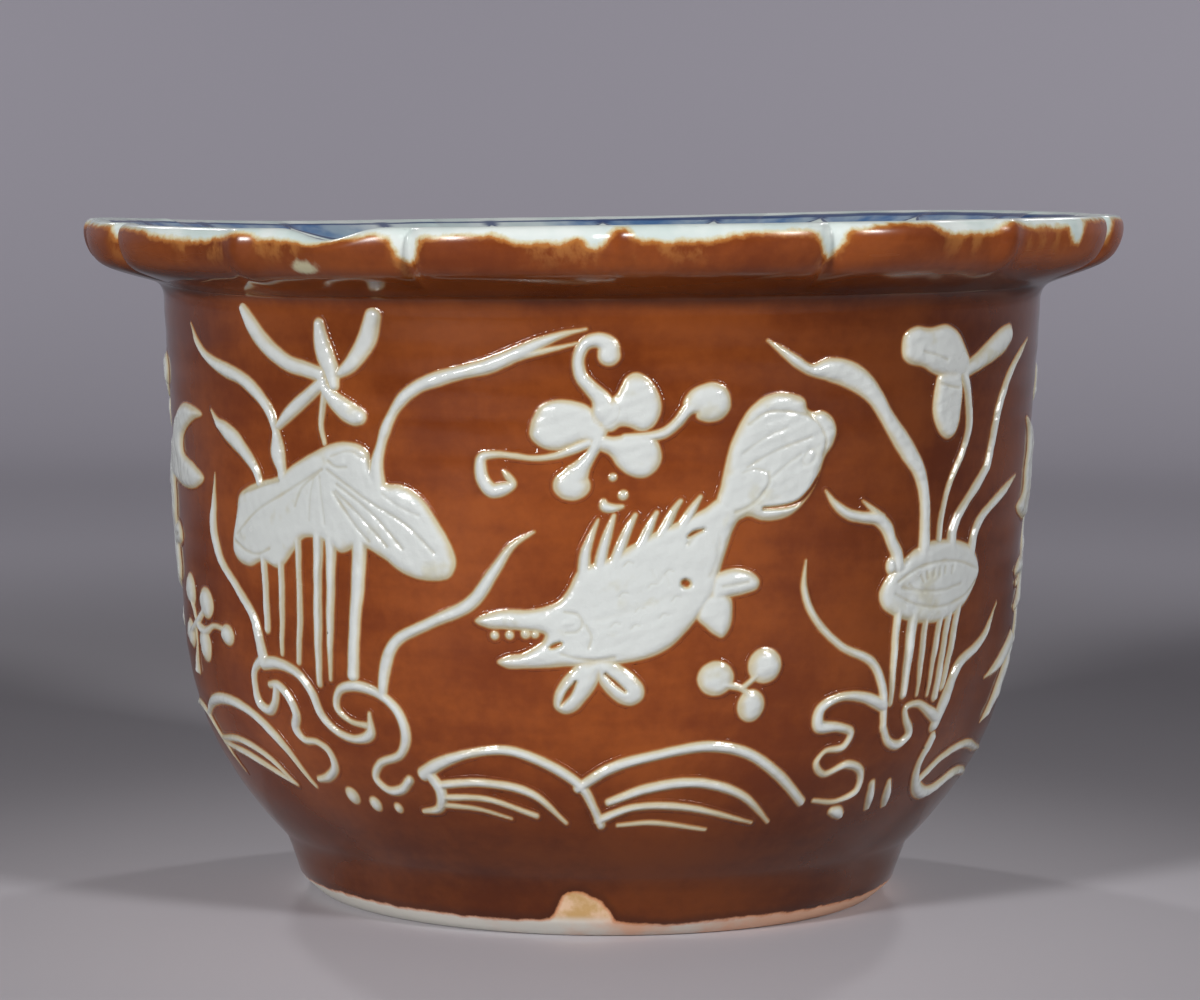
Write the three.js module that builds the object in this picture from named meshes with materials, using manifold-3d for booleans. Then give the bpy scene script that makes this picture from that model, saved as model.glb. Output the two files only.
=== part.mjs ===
// A glazed porcelain jardiniere: a thrown bowl on a foot ring, with a drain hole in its floor
// and a spreading rim cut in eight bracket lobes. White slip is trailed and pooled on the wall
// in a frieze of fish, lotus clumps, water weeds and waves, and each slip motif is its own solid.
//
// Frame: origin at the centre of the foot, +Z up, the front of the frieze towards -Y, and
// degrees round the pot counted from the front towards +X. Lengths are in millimetres.

import * as THREE from "three";
import Module from "manifold-3d";

const wasm = await Module();
wasm.setup();

// Overall sizes, and the flange that spreads from the neck to the rim
const rimRadius = 130.6;
const overallHeight = 169;
const flangeReach = 20.4;
const flangeRise = 20;
const neckRadius = rimRadius - flangeReach;
const neckHeight = overallHeight - flangeRise;

// Foot, floor and wall
const footContactRadius = 71;
const footContactWidth = 8;
const footBevelHeight = 4;
const footBevelReach = 4.5;
const footHeight = 14;
const footFlare = 3.7;
const footTopRadius = footContactRadius + footBevelReach + footFlare;
const footRecess = 5;
const floorThickness = 8;
const floorCornerRun = 9;
const drainRadius = 11;
const wallThickness = 6.5;
const wallSlope = 0.064;
const bowlHeight = 58;
const bowlRoundness = 2.4;

// Rim: eight lobes, each with a pointed tip, a hollow on both sides of it and a notch between
const lobeCount = 8;
const lobeHollow = 1.5;
const lobeHollowSpan = 15;
const lobeNotch = 2.6;
const dipCentre = -29;
const dipHalfWidth = 6.5;
const dipDepth = 2.7;

// The pot sagged in the kiln: the upper wall leans up towards +X, and the flange a little more
const sagDegrees = 0.85;
const sagStart = 20;
const flangeSagDegrees = 0.4;
const flangeSagReach = 12;

// Slip relief: a trail of the usual width has the trail thickness, and a slim or a full trail
// has a share of it
const trailThickness = 1.3;
const trailWidth = 2.4;
const slimTrail = 0.3;
const fullTrail = 1.3;
const poolThickness = 2.1;
const poolEdge = 1.1;
const seatGap = 0.32;

// The drawing's own scale: the frieze is drawn on a band of this radius and between these
// heights, and it is stretched to the band that the pot has between its foot and its neck. Its
// degrees were read on the relief's top, which stands out from the wall, so they are drawn in.
const drawnRadius = 107;
const drawnShare = 0.9925;
const drawnLow = 14;
const drawnHigh = 150;

// Fineness: how far a slip facet may bow off the wall, how many degrees an outline turns at a
// corner, and the fewest sides of a round blob
const stepsAround = 64;
const facetBow = 0.3;
const fineTurn = 42;
const plainTurn = 64;
const dropSides = 8;
const beadSides = 7;

const { clamp, degToRad, lerp, smoothstep } = THREE.MathUtils;

// The wall's outer radius: a straight taper, less a round that draws the bowl in to its foot.
function straightRadius(z) {
  return neckRadius - wallSlope * (neckHeight - z);
}

const bowlDraw = straightRadius(footHeight) - footTopRadius;

function wallRadius(z) {
  const rise = clamp((z - footHeight) / bowlHeight, 0, 1);
  return straightRadius(z) - bowlDraw * (1 - rise) ** bowlRoundness;
}

// How far the rim's outline stands in from the circle through its tips.
function lobeInset(degrees) {
  const pitch = 360 / lobeCount;
  const turned = THREE.MathUtils.euclideanModulo(degrees + pitch / 2, pitch) - pitch / 2;
  const fromTip = Math.abs(turned);
  const hollow = Math.max(0, Math.sin((Math.PI * fromTip) / lobeHollowSpan));
  const towardsNotch = Math.max(0, (fromTip - lobeHollowSpan) / (pitch / 2 - lobeHollowSpan));
  return (fromTip < lobeHollowSpan ? lobeHollow * hollow : 0) + lobeNotch * towardsNotch ** 2;
}

// A point of the pot before the sag: degrees round, radius and height.
function around(degrees, radius, z) {
  const angle = degToRad(degrees);
  return new THREE.Vector3(radius * Math.sin(angle), -radius * Math.cos(angle), z);
}

function sag(point) {
  const wallShare = smoothstep(point.z, sagStart, neckHeight);
  const flangeShare = smoothstep(point.z, neckHeight, neckHeight + flangeSagReach);
  point.z += point.x * Math.tan(degToRad(sagDegrees)) * wallShare;
  point.z += point.x * Math.tan(degToRad(flangeSagDegrees)) * flangeShare;
  return point;
}

// The pot's section as a closed loop of rows: radius, height and how much the lobes shape it.
// The rim's points are given as shares of its reach past the neck and its rise above it.
function potSection() {
  const reach = rimRadius - neckRadius;
  const rise = overallHeight - neckHeight;
  const floorTop = footRecess + floorThickness;
  const rows = [];
  const row = (radius, z, lobed = 0, top = 0) => rows.push({ radius, z, lobed, top });
  const wallRows = (heights, inset) => heights.forEach((z) => row(wallRadius(z) - inset, z));
  const upTheWall = (shares, from, to) => shares.map((share) => lerp(from, to, share));

  row(drainRadius, footRecess);
  row(footContactRadius - footContactWidth - footRecess / 2, footRecess);
  row(footContactRadius - footContactWidth, 0);
  row(footContactRadius, 0);
  row(footContactRadius + footBevelReach, footBevelHeight);
  wallRows(upTheWall([0, 0.06, 0.14, 0.26, 0.42, 0.7, 1], footHeight, neckHeight), 0);

  const rim = [
    [0.05, 0.1, 0, 0],
    [0.28, 0.26, 0.25, 0],
    [0.6, 0.375, 0.7, 0],
    [0.84, 0.505, 1, 0],
    [0.975, 0.7, 1, 0.1],
    [1, 0.85, 1, 0.6],
    [0.93, 0.97, 1, 1],
    [0.8, 1, 0.95, 1],
    [0.56, 0.9, 0.7, 0.5],
    [0.27, 0.72, 0.35, 0],
    [-0.02, 0.51, 0.1, 0],
    [-0.22, 0.24, 0, 0],
  ];
  rim.forEach(([out, up, lobed, top]) =>
    row(neckRadius + reach * out, neckHeight + rise * up, lobed, top),
  );

  const inner = upTheWall([1, 0.5, 0.28, 0.12], footHeight, neckHeight);
  wallRows(inner, wallThickness);
  row(footTopRadius - wallThickness - floorCornerRun, floorTop);
  row(drainRadius, floorTop);
  return rows;
}

function potGeometry() {
  const rows = potSection();
  const positions = [];
  const index = [];
  rows.forEach(({ radius, z, lobed, top }) => {
    for (let step = 0; step < stepsAround; step++) {
      const degrees = (360 * step) / stepsAround;
      const nearDip = THREE.MathUtils.euclideanModulo(degrees - dipCentre + 180, 360) - 180;
      const dip = 0.5 + 0.5 * Math.cos(Math.PI * clamp(nearDip / dipHalfWidth, -1, 1));
      const point = around(degrees, radius - lobed * lobeInset(degrees), z - top * dipDepth * dip);
      positions.push(...sag(point).toArray());
    }
  });
  rows.forEach((_, r) => {
    const next = (r + 1) % rows.length;
    for (let step = 0; step < stepsAround; step++) {
      const beside = (step + 1) % stepsAround;
      const corners = [r, next].flatMap((k) => [k * stepsAround + step, k * stepsAround + beside]);
      const [a, b, c, d] = corners;
      index.push(a, b, c, b, d, c);
    }
  });
  return new THREE.BufferGeometry()
    .setAttribute("position", new THREE.Float32BufferAttribute(positions, 3))
    .setIndex(index);
}

// Slip is shaped flat, where its undersides share one plane, joined, and then wrapped on the
// wall. A flat point holds the run round the band, the drawn height and the stand-off.
const flat = (degrees, height) => [degToRad(degrees * drawnShare) * drawnRadius, height];

function solid(positions, index) {
  const mesh = new wasm.Mesh({
    numProp: 3,
    vertProperties: new Float32Array(positions),
    triVerts: new Uint32Array(index),
  });
  return new wasm.Manifold(mesh);
}

// Stations along a smooth curve: its own points, and more between them where it turns.
function stationsOf(points, closed, turn) {
  const curve = new THREE.CatmullRomCurve3(points, closed, "centripetal");
  const spans = closed ? points.length : points.length - 1;
  const heading = (share) => {
    const { x, y } = curve.getTangent(share);
    return new THREE.Vector2(x, y);
  };
  const stations = [];
  for (let span = 0; span < spans; span++) {
    const middle = heading((span + 0.5) / spans);
    const turned = heading(span / spans).angleTo(middle) + middle.angleTo(heading((span + 1) / spans));
    const parts = clamp(Math.round(turned / degToRad(turn)), 1, 3);
    for (let part = 0; part < parts; part++)
      stations.push(curve.getPoint((span + part / parts) / spans));
  }
  if (!closed) stations.push(points.at(-1).clone());
  return stations;
}

// A trail of slip: points of [degrees, height, width] on one smooth curve, with a crowned section.
function trail(...points) {
  return (turn) => {
    const drawn = points.map(([degrees, height, width]) => {
      const [x, y] = flat(degrees, height);
      return new THREE.Vector3(x, y, width);
    });
    const stations = stationsOf(drawn, false, turn);
    const positions = [];
    const index = [];
    stations.forEach((here, i) => {
      const before = stations[Math.max(i - 1, 0)];
      const after = stations[Math.min(i + 1, stations.length - 1)];
      const along = new THREE.Vector2(after.x - before.x, after.y - before.y).normalize();
      const crown = trailThickness * clamp(here.z / trailWidth, slimTrail, fullTrail);
      [[0.5, 0], [0, crown], [-0.5, 0]].forEach(([share, up]) => {
        const out = share * here.z;
        positions.push(here.x - out * along.y, here.y + out * along.x, up);
      });
      if (i === 0) return;
      const [back, front] = [3 * (i - 1), 3 * i];
      for (let k = 0; k < 3; k++) {
        const next = (k + 1) % 3;
        index.push(back + k, back + next, front + k, back + next, front + next, front + k);
      }
    });
    const end = positions.length / 3 - 3;
    index.push(0, 2, 1, end, end + 1, end + 2);
    return solid(positions, index);
  };
}

// A pool of slip inside a closed flat outline: a sloping edge and a level top.
function pooled(outline) {
  const ring = outline.map(([x, y]) => new THREE.Vector2(x, y));
  if (THREE.ShapeUtils.isClockWise(ring)) ring.reverse();
  const inner = ring.map((here, i) => {
    const before = ring.at(i - 1);
    const after = ring[(i + 1) % ring.length];
    const along = after.clone().sub(before).normalize();
    return new THREE.Vector2(here.x - poolEdge * along.y, here.y + poolEdge * along.x);
  });
  const count = ring.length;
  const positions = ring.flatMap(({ x, y }) => [x, y, 0]);
  positions.push(...inner.flatMap(({ x, y }) => [x, y, poolThickness]));
  const index = [];
  ring.forEach((_, i) => {
    const next = (i + 1) % count;
    index.push(i, next, count + i, next, count + next, count + i);
  });
  THREE.ShapeUtils.triangulateShape(ring, []).forEach(([a, b, c]) => {
    index.push(a, c, b);
    index.push(count + a, count + b, count + c);
  });
  return solid(positions, index);
}

// A pool whose outline runs smoothly through points of [degrees, height].
function pool(...points) {
  return (turn) => {
    const drawn = points.map(([degrees, height]) => new THREE.Vector3(...flat(degrees, height), 0));
    return pooled(stationsOf(drawn, true, turn).map(({ x, y }) => [x, y]));
  };
}

// An oval drop of slip: its middle, half width, half height and how far it leans.
function drop(degrees, height, halfWidth, halfHeight, leanDegrees = 0) {
  return (turn) => {
    const [x, y] = flat(degrees, height);
    const lean = degToRad(leanDegrees);
    const count = Math.max(dropSides, Math.round(360 / turn));
    const outline = Array.from({ length: count }, (_, i) => {
      const angle = (2 * Math.PI * i) / count;
      const across = halfWidth * Math.cos(angle);
      const up = halfHeight * Math.sin(angle);
      return [
        x + across * Math.cos(lean) + up * Math.sin(lean),
        y + up * Math.cos(lean) - across * Math.sin(lean),
      ];
    });
    return pooled(outline);
  };
}

// Small round blobs, such as teeth and dots, are too narrow for a sloping pool edge.
function bead(degrees, height, radius) {
  return () => {
    const [x, y] = flat(degrees, height);
    const positions = [x, y, trailThickness, x, y, 0];
    const index = [];
    for (let i = 0; i < beadSides; i++) {
      const angle = (2 * Math.PI * i) / beadSides;
      positions.push(x + radius * Math.cos(angle), y + radius * Math.sin(angle), 0);
      const next = (i + 1) % beadSides;
      index.push(0, 2 + i, 2 + next, 1, 2 + next, 2 + i);
    }
    return solid(positions, index);
  };
}

// Lays a flat point on the wall, standing off along the wall's own slope.
function onWall([x, y, standOff]) {
  const z = lerp(footHeight, neckHeight, (y - drawnLow) / (drawnHigh - drawnLow));
  const probe = 0.5;
  const slope = (wallRadius(z + probe) - wallRadius(z - probe)) / (2 * probe);
  const scale = 1 / Math.hypot(1, slope);
  const off = seatGap + standOff;
  const degrees = THREE.MathUtils.radToDeg(x / drawnRadius);
  return sag(around(degrees, wallRadius(z) + off * scale, z - off * slope * scale));
}

// Halves every edge that bows off the wall, until each facet lies close enough to it.
function refined(mesh) {
  const points = [];
  for (let v = 0; v < mesh.numVert; v++)
    points.push([...mesh.vertProperties.subarray(v * mesh.numProp, v * mesh.numProp + 3)]);
  let triangles = [];
  for (let t = 0; t < mesh.numTri; t++) triangles.push([...mesh.triVerts.subarray(3 * t, 3 * t + 3)]);

  const middlePoint = (a, b) => points[a].map((value, axis) => (value + points[b][axis]) / 2);
  const bow = (a, b) => {
    const chord = onWall(points[a]).add(onWall(points[b])).multiplyScalar(0.5);
    return chord.distanceTo(onWall(middlePoint(a, b)));
  };
  const edgesOf = ([a, b, c]) => [[a, b, c], [b, c, a], [c, a, b]];
  const keyOf = (a, b) => Math.min(a, b) + "_" + Math.max(a, b);

  let halved = true;
  while (halved) {
    const middles = new Map();
    triangles.flatMap(edgesOf).forEach(([a, b]) => {
      if (middles.has(keyOf(a, b)) || bow(a, b) <= facetBow) return;
      middles.set(keyOf(a, b), points.length);
      points.push(middlePoint(a, b));
    });
    const split = (triangle) => {
      const cut = edgesOf(triangle).find(([a, b]) => middles.has(keyOf(a, b)));
      if (!cut) return [triangle];
      const [a, b, c] = cut;
      const middle = middles.get(keyOf(a, b));
      return [...split([a, middle, c]), ...split([middle, b, c])];
    };
    triangles = triangles.flatMap(split);
    halved = middles.size > 0;
  }
  return { points, triangles };
}

// Joins a motif's shapes and wraps it, turned round the pot and lifted from where it is drawn.
function slipGeometry(shapes, { turn = 0, lift = 0, corner = fineTurn }) {
  const run = degToRad(turn) * drawnRadius;
  const joined = shapes.map((shape) => shape(corner)).reduce((all, next) => all.add(next));
  const { points, triangles } = refined(joined.translate([run, lift, 0]).getMesh());
  const positions = points.flatMap((point) => onWall(point).toArray());
  return new THREE.BufferGeometry()
    .setAttribute("position", new THREE.Float32BufferAttribute(positions, 3))
    .setIndex(triangles.flat());
}

const glaze = new THREE.MeshStandardMaterial({ color: 0x82421e, roughness: 0.16 });
const slip = new THREE.MeshStandardMaterial({ color: 0xd4d6d2, roughness: 0.3 });

const jardiniere = new THREE.Group();
jardiniere.name = "jardiniere";

function add(name, geometry, material) {
  const mesh = new THREE.Mesh(geometry, material);
  mesh.name = name;
  jardiniere.add(mesh);
}

function addSlip(name, shapes, placing = {}) {
  add(name, slipGeometry(shapes, placing), slip);
}

// Lotus clump: a folded leaf on six stems, with blades of weed springing from its edge.
const leafClump = [
  pool(
    [-55.4, 91.5], [-55, 97], [-53.7, 102], [-52, 106], [-48.5, 109.2], [-44.8, 110.5],
    [-41.5, 113.2], [-37.5, 116.8], [-33.5, 118.9], [-30.2, 118], [-28.8, 113], [-26.5, 109.5],
    [-23.2, 108.5], [-20.8, 104], [-18.6, 97], [-18, 91.5], [-20, 88.2], [-24.5, 88],
    [-28.5, 90.3], [-31.6, 95], [-34.2, 93], [-36.5, 95.5], [-40, 96.2], [-42.8, 93],
    [-46.5, 88.4], [-51.5, 88.2],
  ),
  trail([-48.2, 92, 2.2], [-48.2, 82, 2.1], [-48.3, 73.5, 2.2]),
  trail([-44.7, 92, 2.2], [-45, 80, 2], [-45.5, 68, 1.4]),
  trail([-41.4, 96, 2], [-41.6, 81, 1.8], [-42.3, 66.5, 1.6]),
  trail([-37.8, 98, 3], [-38.4, 80, 2.4], [-38.8, 61.8, 1.7]),
  trail([-35.8, 98, 3.4], [-36.3, 80, 2.6], [-36.8, 63.2, 1]),
  trail([-31.3, 97, 4], [-32.2, 80, 3.4], [-33, 64.8, 3.4]),
  trail(
    [-64.8, 145, 0.4], [-61.5, 140, 1.8], [-56, 135.5, 3.6], [-50, 131.9, 3.9],
    [-46.4, 126, 3.2], [-44.6, 119.5, 3.8], [-43.9, 109, 3.6],
  ),
  trail([-59.4, 124.3, 0.7], [-57, 120.6, 2.4], [-53.7, 118, 4], [-50.6, 114.5, 3.2], [-48.8, 107.5, 2]),
  trail(
    [-28.8, 109, 4.2], [-28.2, 116, 2.2], [-26, 126.5, 2.4], [-23.5, 131.4, 2.8],
    [-18.5, 134.8, 3], [-12, 138.3, 3.4], [-7.5, 142.3, 2.4], [-1.5, 145.6, 0.4],
  ),
  trail([-10, 139.4, 1.8], [-6.5, 141.2, 1.1], [-3, 142.4, 0.4]),
];

const leafBlossom = [
  trail([-50.2, 149.3, 2.6], [-47.8, 143.9, 5], [-43, 138.2, 3.9], [-36.5, 134.6, 3.2]),
  trail([-36.8, 146.5, 2], [-36.1, 141.5, 4.8], [-34.7, 136.5, 5.2], [-34.6, 132.8, 3]),
  trail([-28.7, 149.3, 3.2], [-29, 145.3, 5], [-30.8, 140, 4.2], [-34, 135.6, 2.4]),
  trail([-35.5, 134.2, 3], [-38.8, 129.6, 3.6], [-42.9, 124.1, 2.6]),
  trail([-36.4, 133.6, 2.6], [-34.4, 129.8, 4.4], [-32, 126.4, 5], [-30.4, 125, 2.6]),
  trail([-35.7, 131.5, 1.6], [-36.8, 126, 1.5], [-36.5, 119.8, 0.9]),
];

// Root scrolls under the leaf clump, with the two blades that grow from them.
const leafRoots = [
  trail(
    [-59.6, 109.5, 0.4], [-60.5, 102, 1.8], [-61, 94, 3.6], [-59.3, 86.8, 2.7],
    [-54.8, 82.2, 2.5], [-51.2, 75.5, 3], [-49.6, 66, 4],
  ),
  trail(
    [-49.8, 66, 3], [-51.8, 63, 2.2], [-52.3, 58, 2.4], [-51.5, 54.3, 3],
    [-49.7, 53.3, 2.5], [-48.3, 55.2, 2.5], [-47.4, 59.3, 2.4],
  ),
  trail(
    [-48.8, 59.8, 1.6], [-47, 60, 2.3], [-45.2, 57.6, 2.5], [-44.1, 53.4, 2.7],
    [-44.9, 50, 2.9], [-43.7, 47.2, 1.9], [-41.2, 47, 1.6], [-39.3, 45, 2.1],
    [-39.1, 41.2, 2.4], [-41, 38.3, 2.2], [-43.3, 37.2, 1.5],
  ),
  trail(
    [-49.6, 65, 3.4], [-46.3, 65.4, 2.8], [-42.6, 63.5, 2.4], [-40.5, 59.5, 2.5],
    [-39.2, 54, 2.4], [-37, 50.4, 2.1], [-34, 49, 2], [-31.4, 50.7, 2.6], [-31, 55.8, 0.9],
  ),
  trail(
    [-31.2, 52.6, 1.6], [-34.4, 53.5, 1.3], [-36.3, 56.6, 2], [-35.5, 60.7, 2.1],
    [-32.6, 62.2, 2.6], [-28.9, 60.5, 2.4], [-26.5, 56.5, 2.6], [-25.9, 51, 2.8],
    [-27.2, 46.3, 2.1], [-30.9, 43.3, 1.9], [-32.2, 39.6, 2.1], [-30.7, 36.8, 2.2],
    [-28.4, 37.2, 2.3], [-26.6, 40, 2.2],
  ),
  trail(
    [-28.7, 60.3, 2.4], [-27.8, 68.5, 3.2], [-26.3, 73.6, 2.8], [-21.5, 78.4, 2.6],
    [-16, 83.5, 3.2], [-13, 91, 2.6], [-10.7, 97, 1.5], [-8, 100.3, 0.4],
  ),
];

// Seed-pod clump: a cut lotus pod on six stems, with blades springing from its edge.
const podClump = [
  pool(
    [38.4, 83.5], [39.6, 79.6], [43.5, 77], [48, 75.8], [52.5, 76.4], [56.8, 78.8], [58.2, 82.4],
    [59.2, 86], [57.8, 90.4], [54.5, 92.8], [50, 94.2], [45.5, 93], [42, 90.8], [39.5, 87.4],
  ),
  trail([41.7, 80, 2.6], [41.4, 68, 2.2], [41.7, 57.5, 1.6]),
  trail([44.7, 79, 4], [44.1, 68, 3], [43.9, 59.3, 2.3]),
  trail([47.2, 78, 2], [46.8, 68, 2.1], [46.8, 58.8, 1]),
  trail([50.4, 78, 2.2], [49.5, 68, 1.9], [49.1, 58.4, 1]),
  trail([52.3, 79, 2.2], [51.4, 68, 2.2], [50.9, 57.6, 2.4]),
  trail([54.4, 80, 2.4], [53.2, 68, 2.2], [52.2, 59.6, 1.7]),
  trail(
    [19.6, 142.7, 0.4], [24.5, 138.2, 2.2], [28.2, 136, 4.2], [32.4, 133.5, 6], [36.4, 127.4, 3.9],
    [41.3, 118, 4.9], [44.6, 109, 3.8], [45.9, 90, 4],
  ),
  trail([29, 107.8, 0.4], [31.4, 103, 2], [36.5, 100.8, 2.7], [39.6, 96.5, 3.1], [41.6, 88, 4.4]),
  trail([34.7, 105.1, 0.4], [36, 103.2, 1.1], [38, 100.5, 1.8]),
  trail(
    [52, 90, 3.4], [52.6, 99, 2.6], [57.3, 106.7, 2.8], [60.3, 113, 3], [61.6, 121.8, 2.6],
    [64.2, 130.5, 2.6], [72, 140, 0.4],
  ),
  trail([57, 90.5, 3.6], [58.4, 97.4, 2.9], [63.5, 101.5, 2.2], [71.5, 106.5, 0.4]),
];

const podBlossom = [
  pool(
    [39.7, 139.8], [40.8, 143.6], [44, 143.8], [47.5, 143.8], [50.3, 141], [52.2, 136.5],
    [51.8, 132.8], [48.5, 131.3], [44.5, 134], [41, 135.8],
  ),
  drop(49.2, 125.6, 4.9, 7.3, 8),
  trail([51, 134.6, 3.6], [55, 136.6, 4.6], [60.8, 140.2, 5.6], [64, 142.2, 3.4]),
  trail(
    [51.6, 134, 3], [53.6, 126.5, 2.2], [54.1, 120.5, 2.4], [52.2, 113, 1.7],
    [49.7, 103.5, 1.7], [48.8, 95.6, 1.6],
  ),
];

const podRoots = [
  trail(
    [26.6, 92.7, 0.4], [26.5, 86, 1.6], [28.3, 79, 1.8], [32.5, 72.2, 1.8],
    [37.6, 67.8, 2.2], [39.8, 61.5, 2.6], [41.2, 51.5, 2],
  ),
  trail(
    [40.4, 57.2, 3.2], [36.5, 59.8, 2.5], [32.8, 60.2, 2], [30, 57.6, 2.8], [30, 53.8, 3.2],
    [33.2, 53, 2.2], [35.5, 51.3, 2], [34.8, 48, 1.9], [31.8, 47.2, 1.2], [30.8, 44.4, 1.7],
    [32.6, 41.5, 1.5], [36.2, 43.4, 2], [39.2, 41.2, 2], [39.8, 36.4, 2.1],
    [36.5, 34, 1.3], [32.3, 34.8, 1],
  ),
  trail(
    [41, 52.2, 2], [42.9, 48, 2.1], [45.2, 46.9, 2.4], [46.8, 49.4, 2.4], [45.3, 53.4, 2],
    [44.9, 55.8, 1.6], [47.3, 56.5, 1.7], [50, 54.3, 2.6], [52.4, 52.2, 3.6],
  ),
  trail(
    [52.3, 50.4, 3.6], [53.6, 56.3, 4.3], [55.6, 64, 3.1], [60, 67.6, 2.6],
    [63, 70.7, 2.1], [66.5, 77.5, 0.4],
  ),
];

// Fish: long jaws with teeth, a deep body, six spines, two pairs of fins and a fan tail.
const fishBody = [
  pool(
    [-15.4, 79.2], [-12.5, 81], [-8, 81.2], [-5, 82.3], [-3.6, 85.5], [-2.4, 91], [0.5, 91.8],
    [2.8, 94.5], [5.5, 98], [9, 100.5], [12, 103.2], [14.7, 107], [17.4, 104.5], [16.6, 98.5],
    [15.2, 93], [14.4, 87], [13, 82.3], [11, 79.2], [8.5, 75.5], [4.5, 71.5], [0, 69.8], [-4, 68.8],
    [-9, 68.2], [-12.8, 69.4], [-10, 71.6], [-7.6, 72.6], [-7.4, 75.4], [-9.5, 77], [-14, 77.2],
  ),
  trail([-2.2, 88.5, 3], [-1.7, 95, 1.8], [-0.4, 101.3, 0.5]),
  trail([-0.6, 89.5, 3], [0.2, 96, 2], [1.6, 103, 0.7]),
  trail([1.4, 91, 3], [2.7, 97, 2], [3.9, 103, 0.8]),
  trail([4, 94, 3], [5.4, 98.8, 2], [6.7, 103.8, 0.8]),
  trail([6.8, 97, 3], [8.3, 101.6, 2], [9.6, 106.3, 0.8]),
  trail([9.6, 99.6, 3], [11.1, 103.6, 2], [12.2, 107, 0.8]),
  drop(-3, 63, 3.4, 8, 20),
  drop(2.4, 65.4, 3.4, 7.2, -42),
  drop(17.1, 87.4, 5.6, 2.9),
  drop(14.6, 80.8, 3.5, 5.6, -8),
  bead(-13.2, 76.4, 1.2),
  bead(-11.1, 76.3, 1.2),
  bead(-9.1, 76.4, 1.2),
];

const fanTail = [
  pool(
    [15.2, 104.5], [14.8, 110], [15.3, 117], [17, 124], [19.5, 129.3], [22.5, 130.8], [25, 129.6],
    [25.7, 126.2], [27.3, 126.6], [29.3, 125], [29.8, 121], [28.6, 115.8], [27.6, 110],
    [25.2, 105], [23, 102.2], [20, 101.8], [17, 101.5],
  ),
];

const forkedTail = [
  pool(
    [15.4, 107.4], [17.4, 111.6], [20.4, 117.4], [25, 120.2], [32.3, 119.4], [28.5, 116.7],
    [24.5, 112.8], [24.3, 110], [28.5, 106.2], [31.3, 103.2], [28, 101.8], [22, 102.4], [16.4, 103.4],
  ),
];

// Scroll flower over the fish, and the berries under its tail.
const scrollFlower = [
  trail(
    [0.5, 139.2, 3.6], [1.5, 140.9, 4.2], [-0.3, 143.2, 2.6], [-2.6, 140.8, 2.3],
    [-2.5, 135.8, 2.6], [-0.6, 131.8, 2.8], [0.4, 127, 4.6], [-0.3, 119.5, 3],
  ),
  pool(
    [-8.5, 122], [-7.6, 126.8], [-5, 129.4], [-2.2, 128.6], [-0.9, 125],
    [-0.8, 121.5], [-4.5, 119], [-7.3, 119.8],
  ),
  drop(0.5, 127.2, 3.3, 3.3),
  drop(4.3, 129.2, 5.2, 6.4, -10),
  drop(4.1, 116.9, 6, 4.8),
  drop(-3.4, 110.8, 4.2, 3.9),
  drop(13.3, 129, 4.4, 4.2),
  trail([-0.4, 121, 3], [-1.8, 116, 3], [-3, 112.5, 5]),
  trail([0, 121.4, 3], [4, 121, 2], [7.8, 122.2, 2], [10.4, 127, 2.6], [12.8, 128.8, 4]),
];

const scrollHook = [
  trail(
    [-1.5, 120.6, 1.6], [-6, 117, 1.6], [-9.5, 116.5, 1.3], [-13.2, 117, 2], [-14.6, 113.5, 2.6],
    [-13.9, 109.8, 2.7], [-11, 109.8, 2.4], [-11.6, 113, 1.4],
  ),
];

const berries = [
  drop(14.9, 66.2, 4.4, 4),
  drop(21.4, 68.8, 4.2, 4.1),
  drop(19.8, 59.5, 3.4, 3.8),
  trail([16, 64.8, 2], [18.4, 63.6, 1.3], [19.7, 61.5, 2]),
  trail([18.4, 63.6, 1.3], [19.5, 65.1, 1.2], [20.6, 67, 1.8]),
];

// Waves: an arc and the finer arcs inside it.
const frontWaves = [
  trail(
    [-24.2, 41.8, 3.4], [-21.8, 44.5, 3], [-17, 47.7, 2.1], [-11.5, 48.8, 2.3], [-5.5, 44.7, 2.5],
    [-2, 40, 2.4], [-0.6, 35.5, 2.1], [0.6, 30.6, 2.2],
  ),
  trail(
    [-2.6, 40, 2.4], [2, 45.2, 2.6], [8, 48.3, 2.4], [14.5, 50.1, 2.6], [20, 48.1, 2.5],
    [25, 42.5, 2.5], [30.2, 34.8, 2.2],
  ),
  trail([-23.3, 41.8, 3], [-22.1, 37.6, 3.3], [-23, 33.3, 2.2], [-25.8, 32, 1]),
  trail([-22.4, 39.3, 2], [-15.5, 40.5, 2], [-9, 38.3, 2], [-4.4, 31, 0.9]),
  trail([-22, 36.2, 1.6], [-15.5, 36.4, 1.4], [-8.6, 32.6, 1.3]),
  trail([-22.6, 34.2, 1.4], [-17, 33.7, 1], [-12.3, 31.6, 0.5]),
  trail([0.2, 31.8, 2.2], [5, 35.1, 1.8], [12, 35.1, 1.8], [23, 30.3, 0.6]),
];

const waveMiddle = [
  trail([1.6, 36.5, 1.9], [7, 40, 2.5], [13.5, 41.2, 2.4], [20, 37.9, 2], [25.7, 30.2, 0.8]),
];
const waveInner = [trail([3, 30.5, 0.9], [8, 31.1, 1.2], [16, 29, 0.8])];

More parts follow.
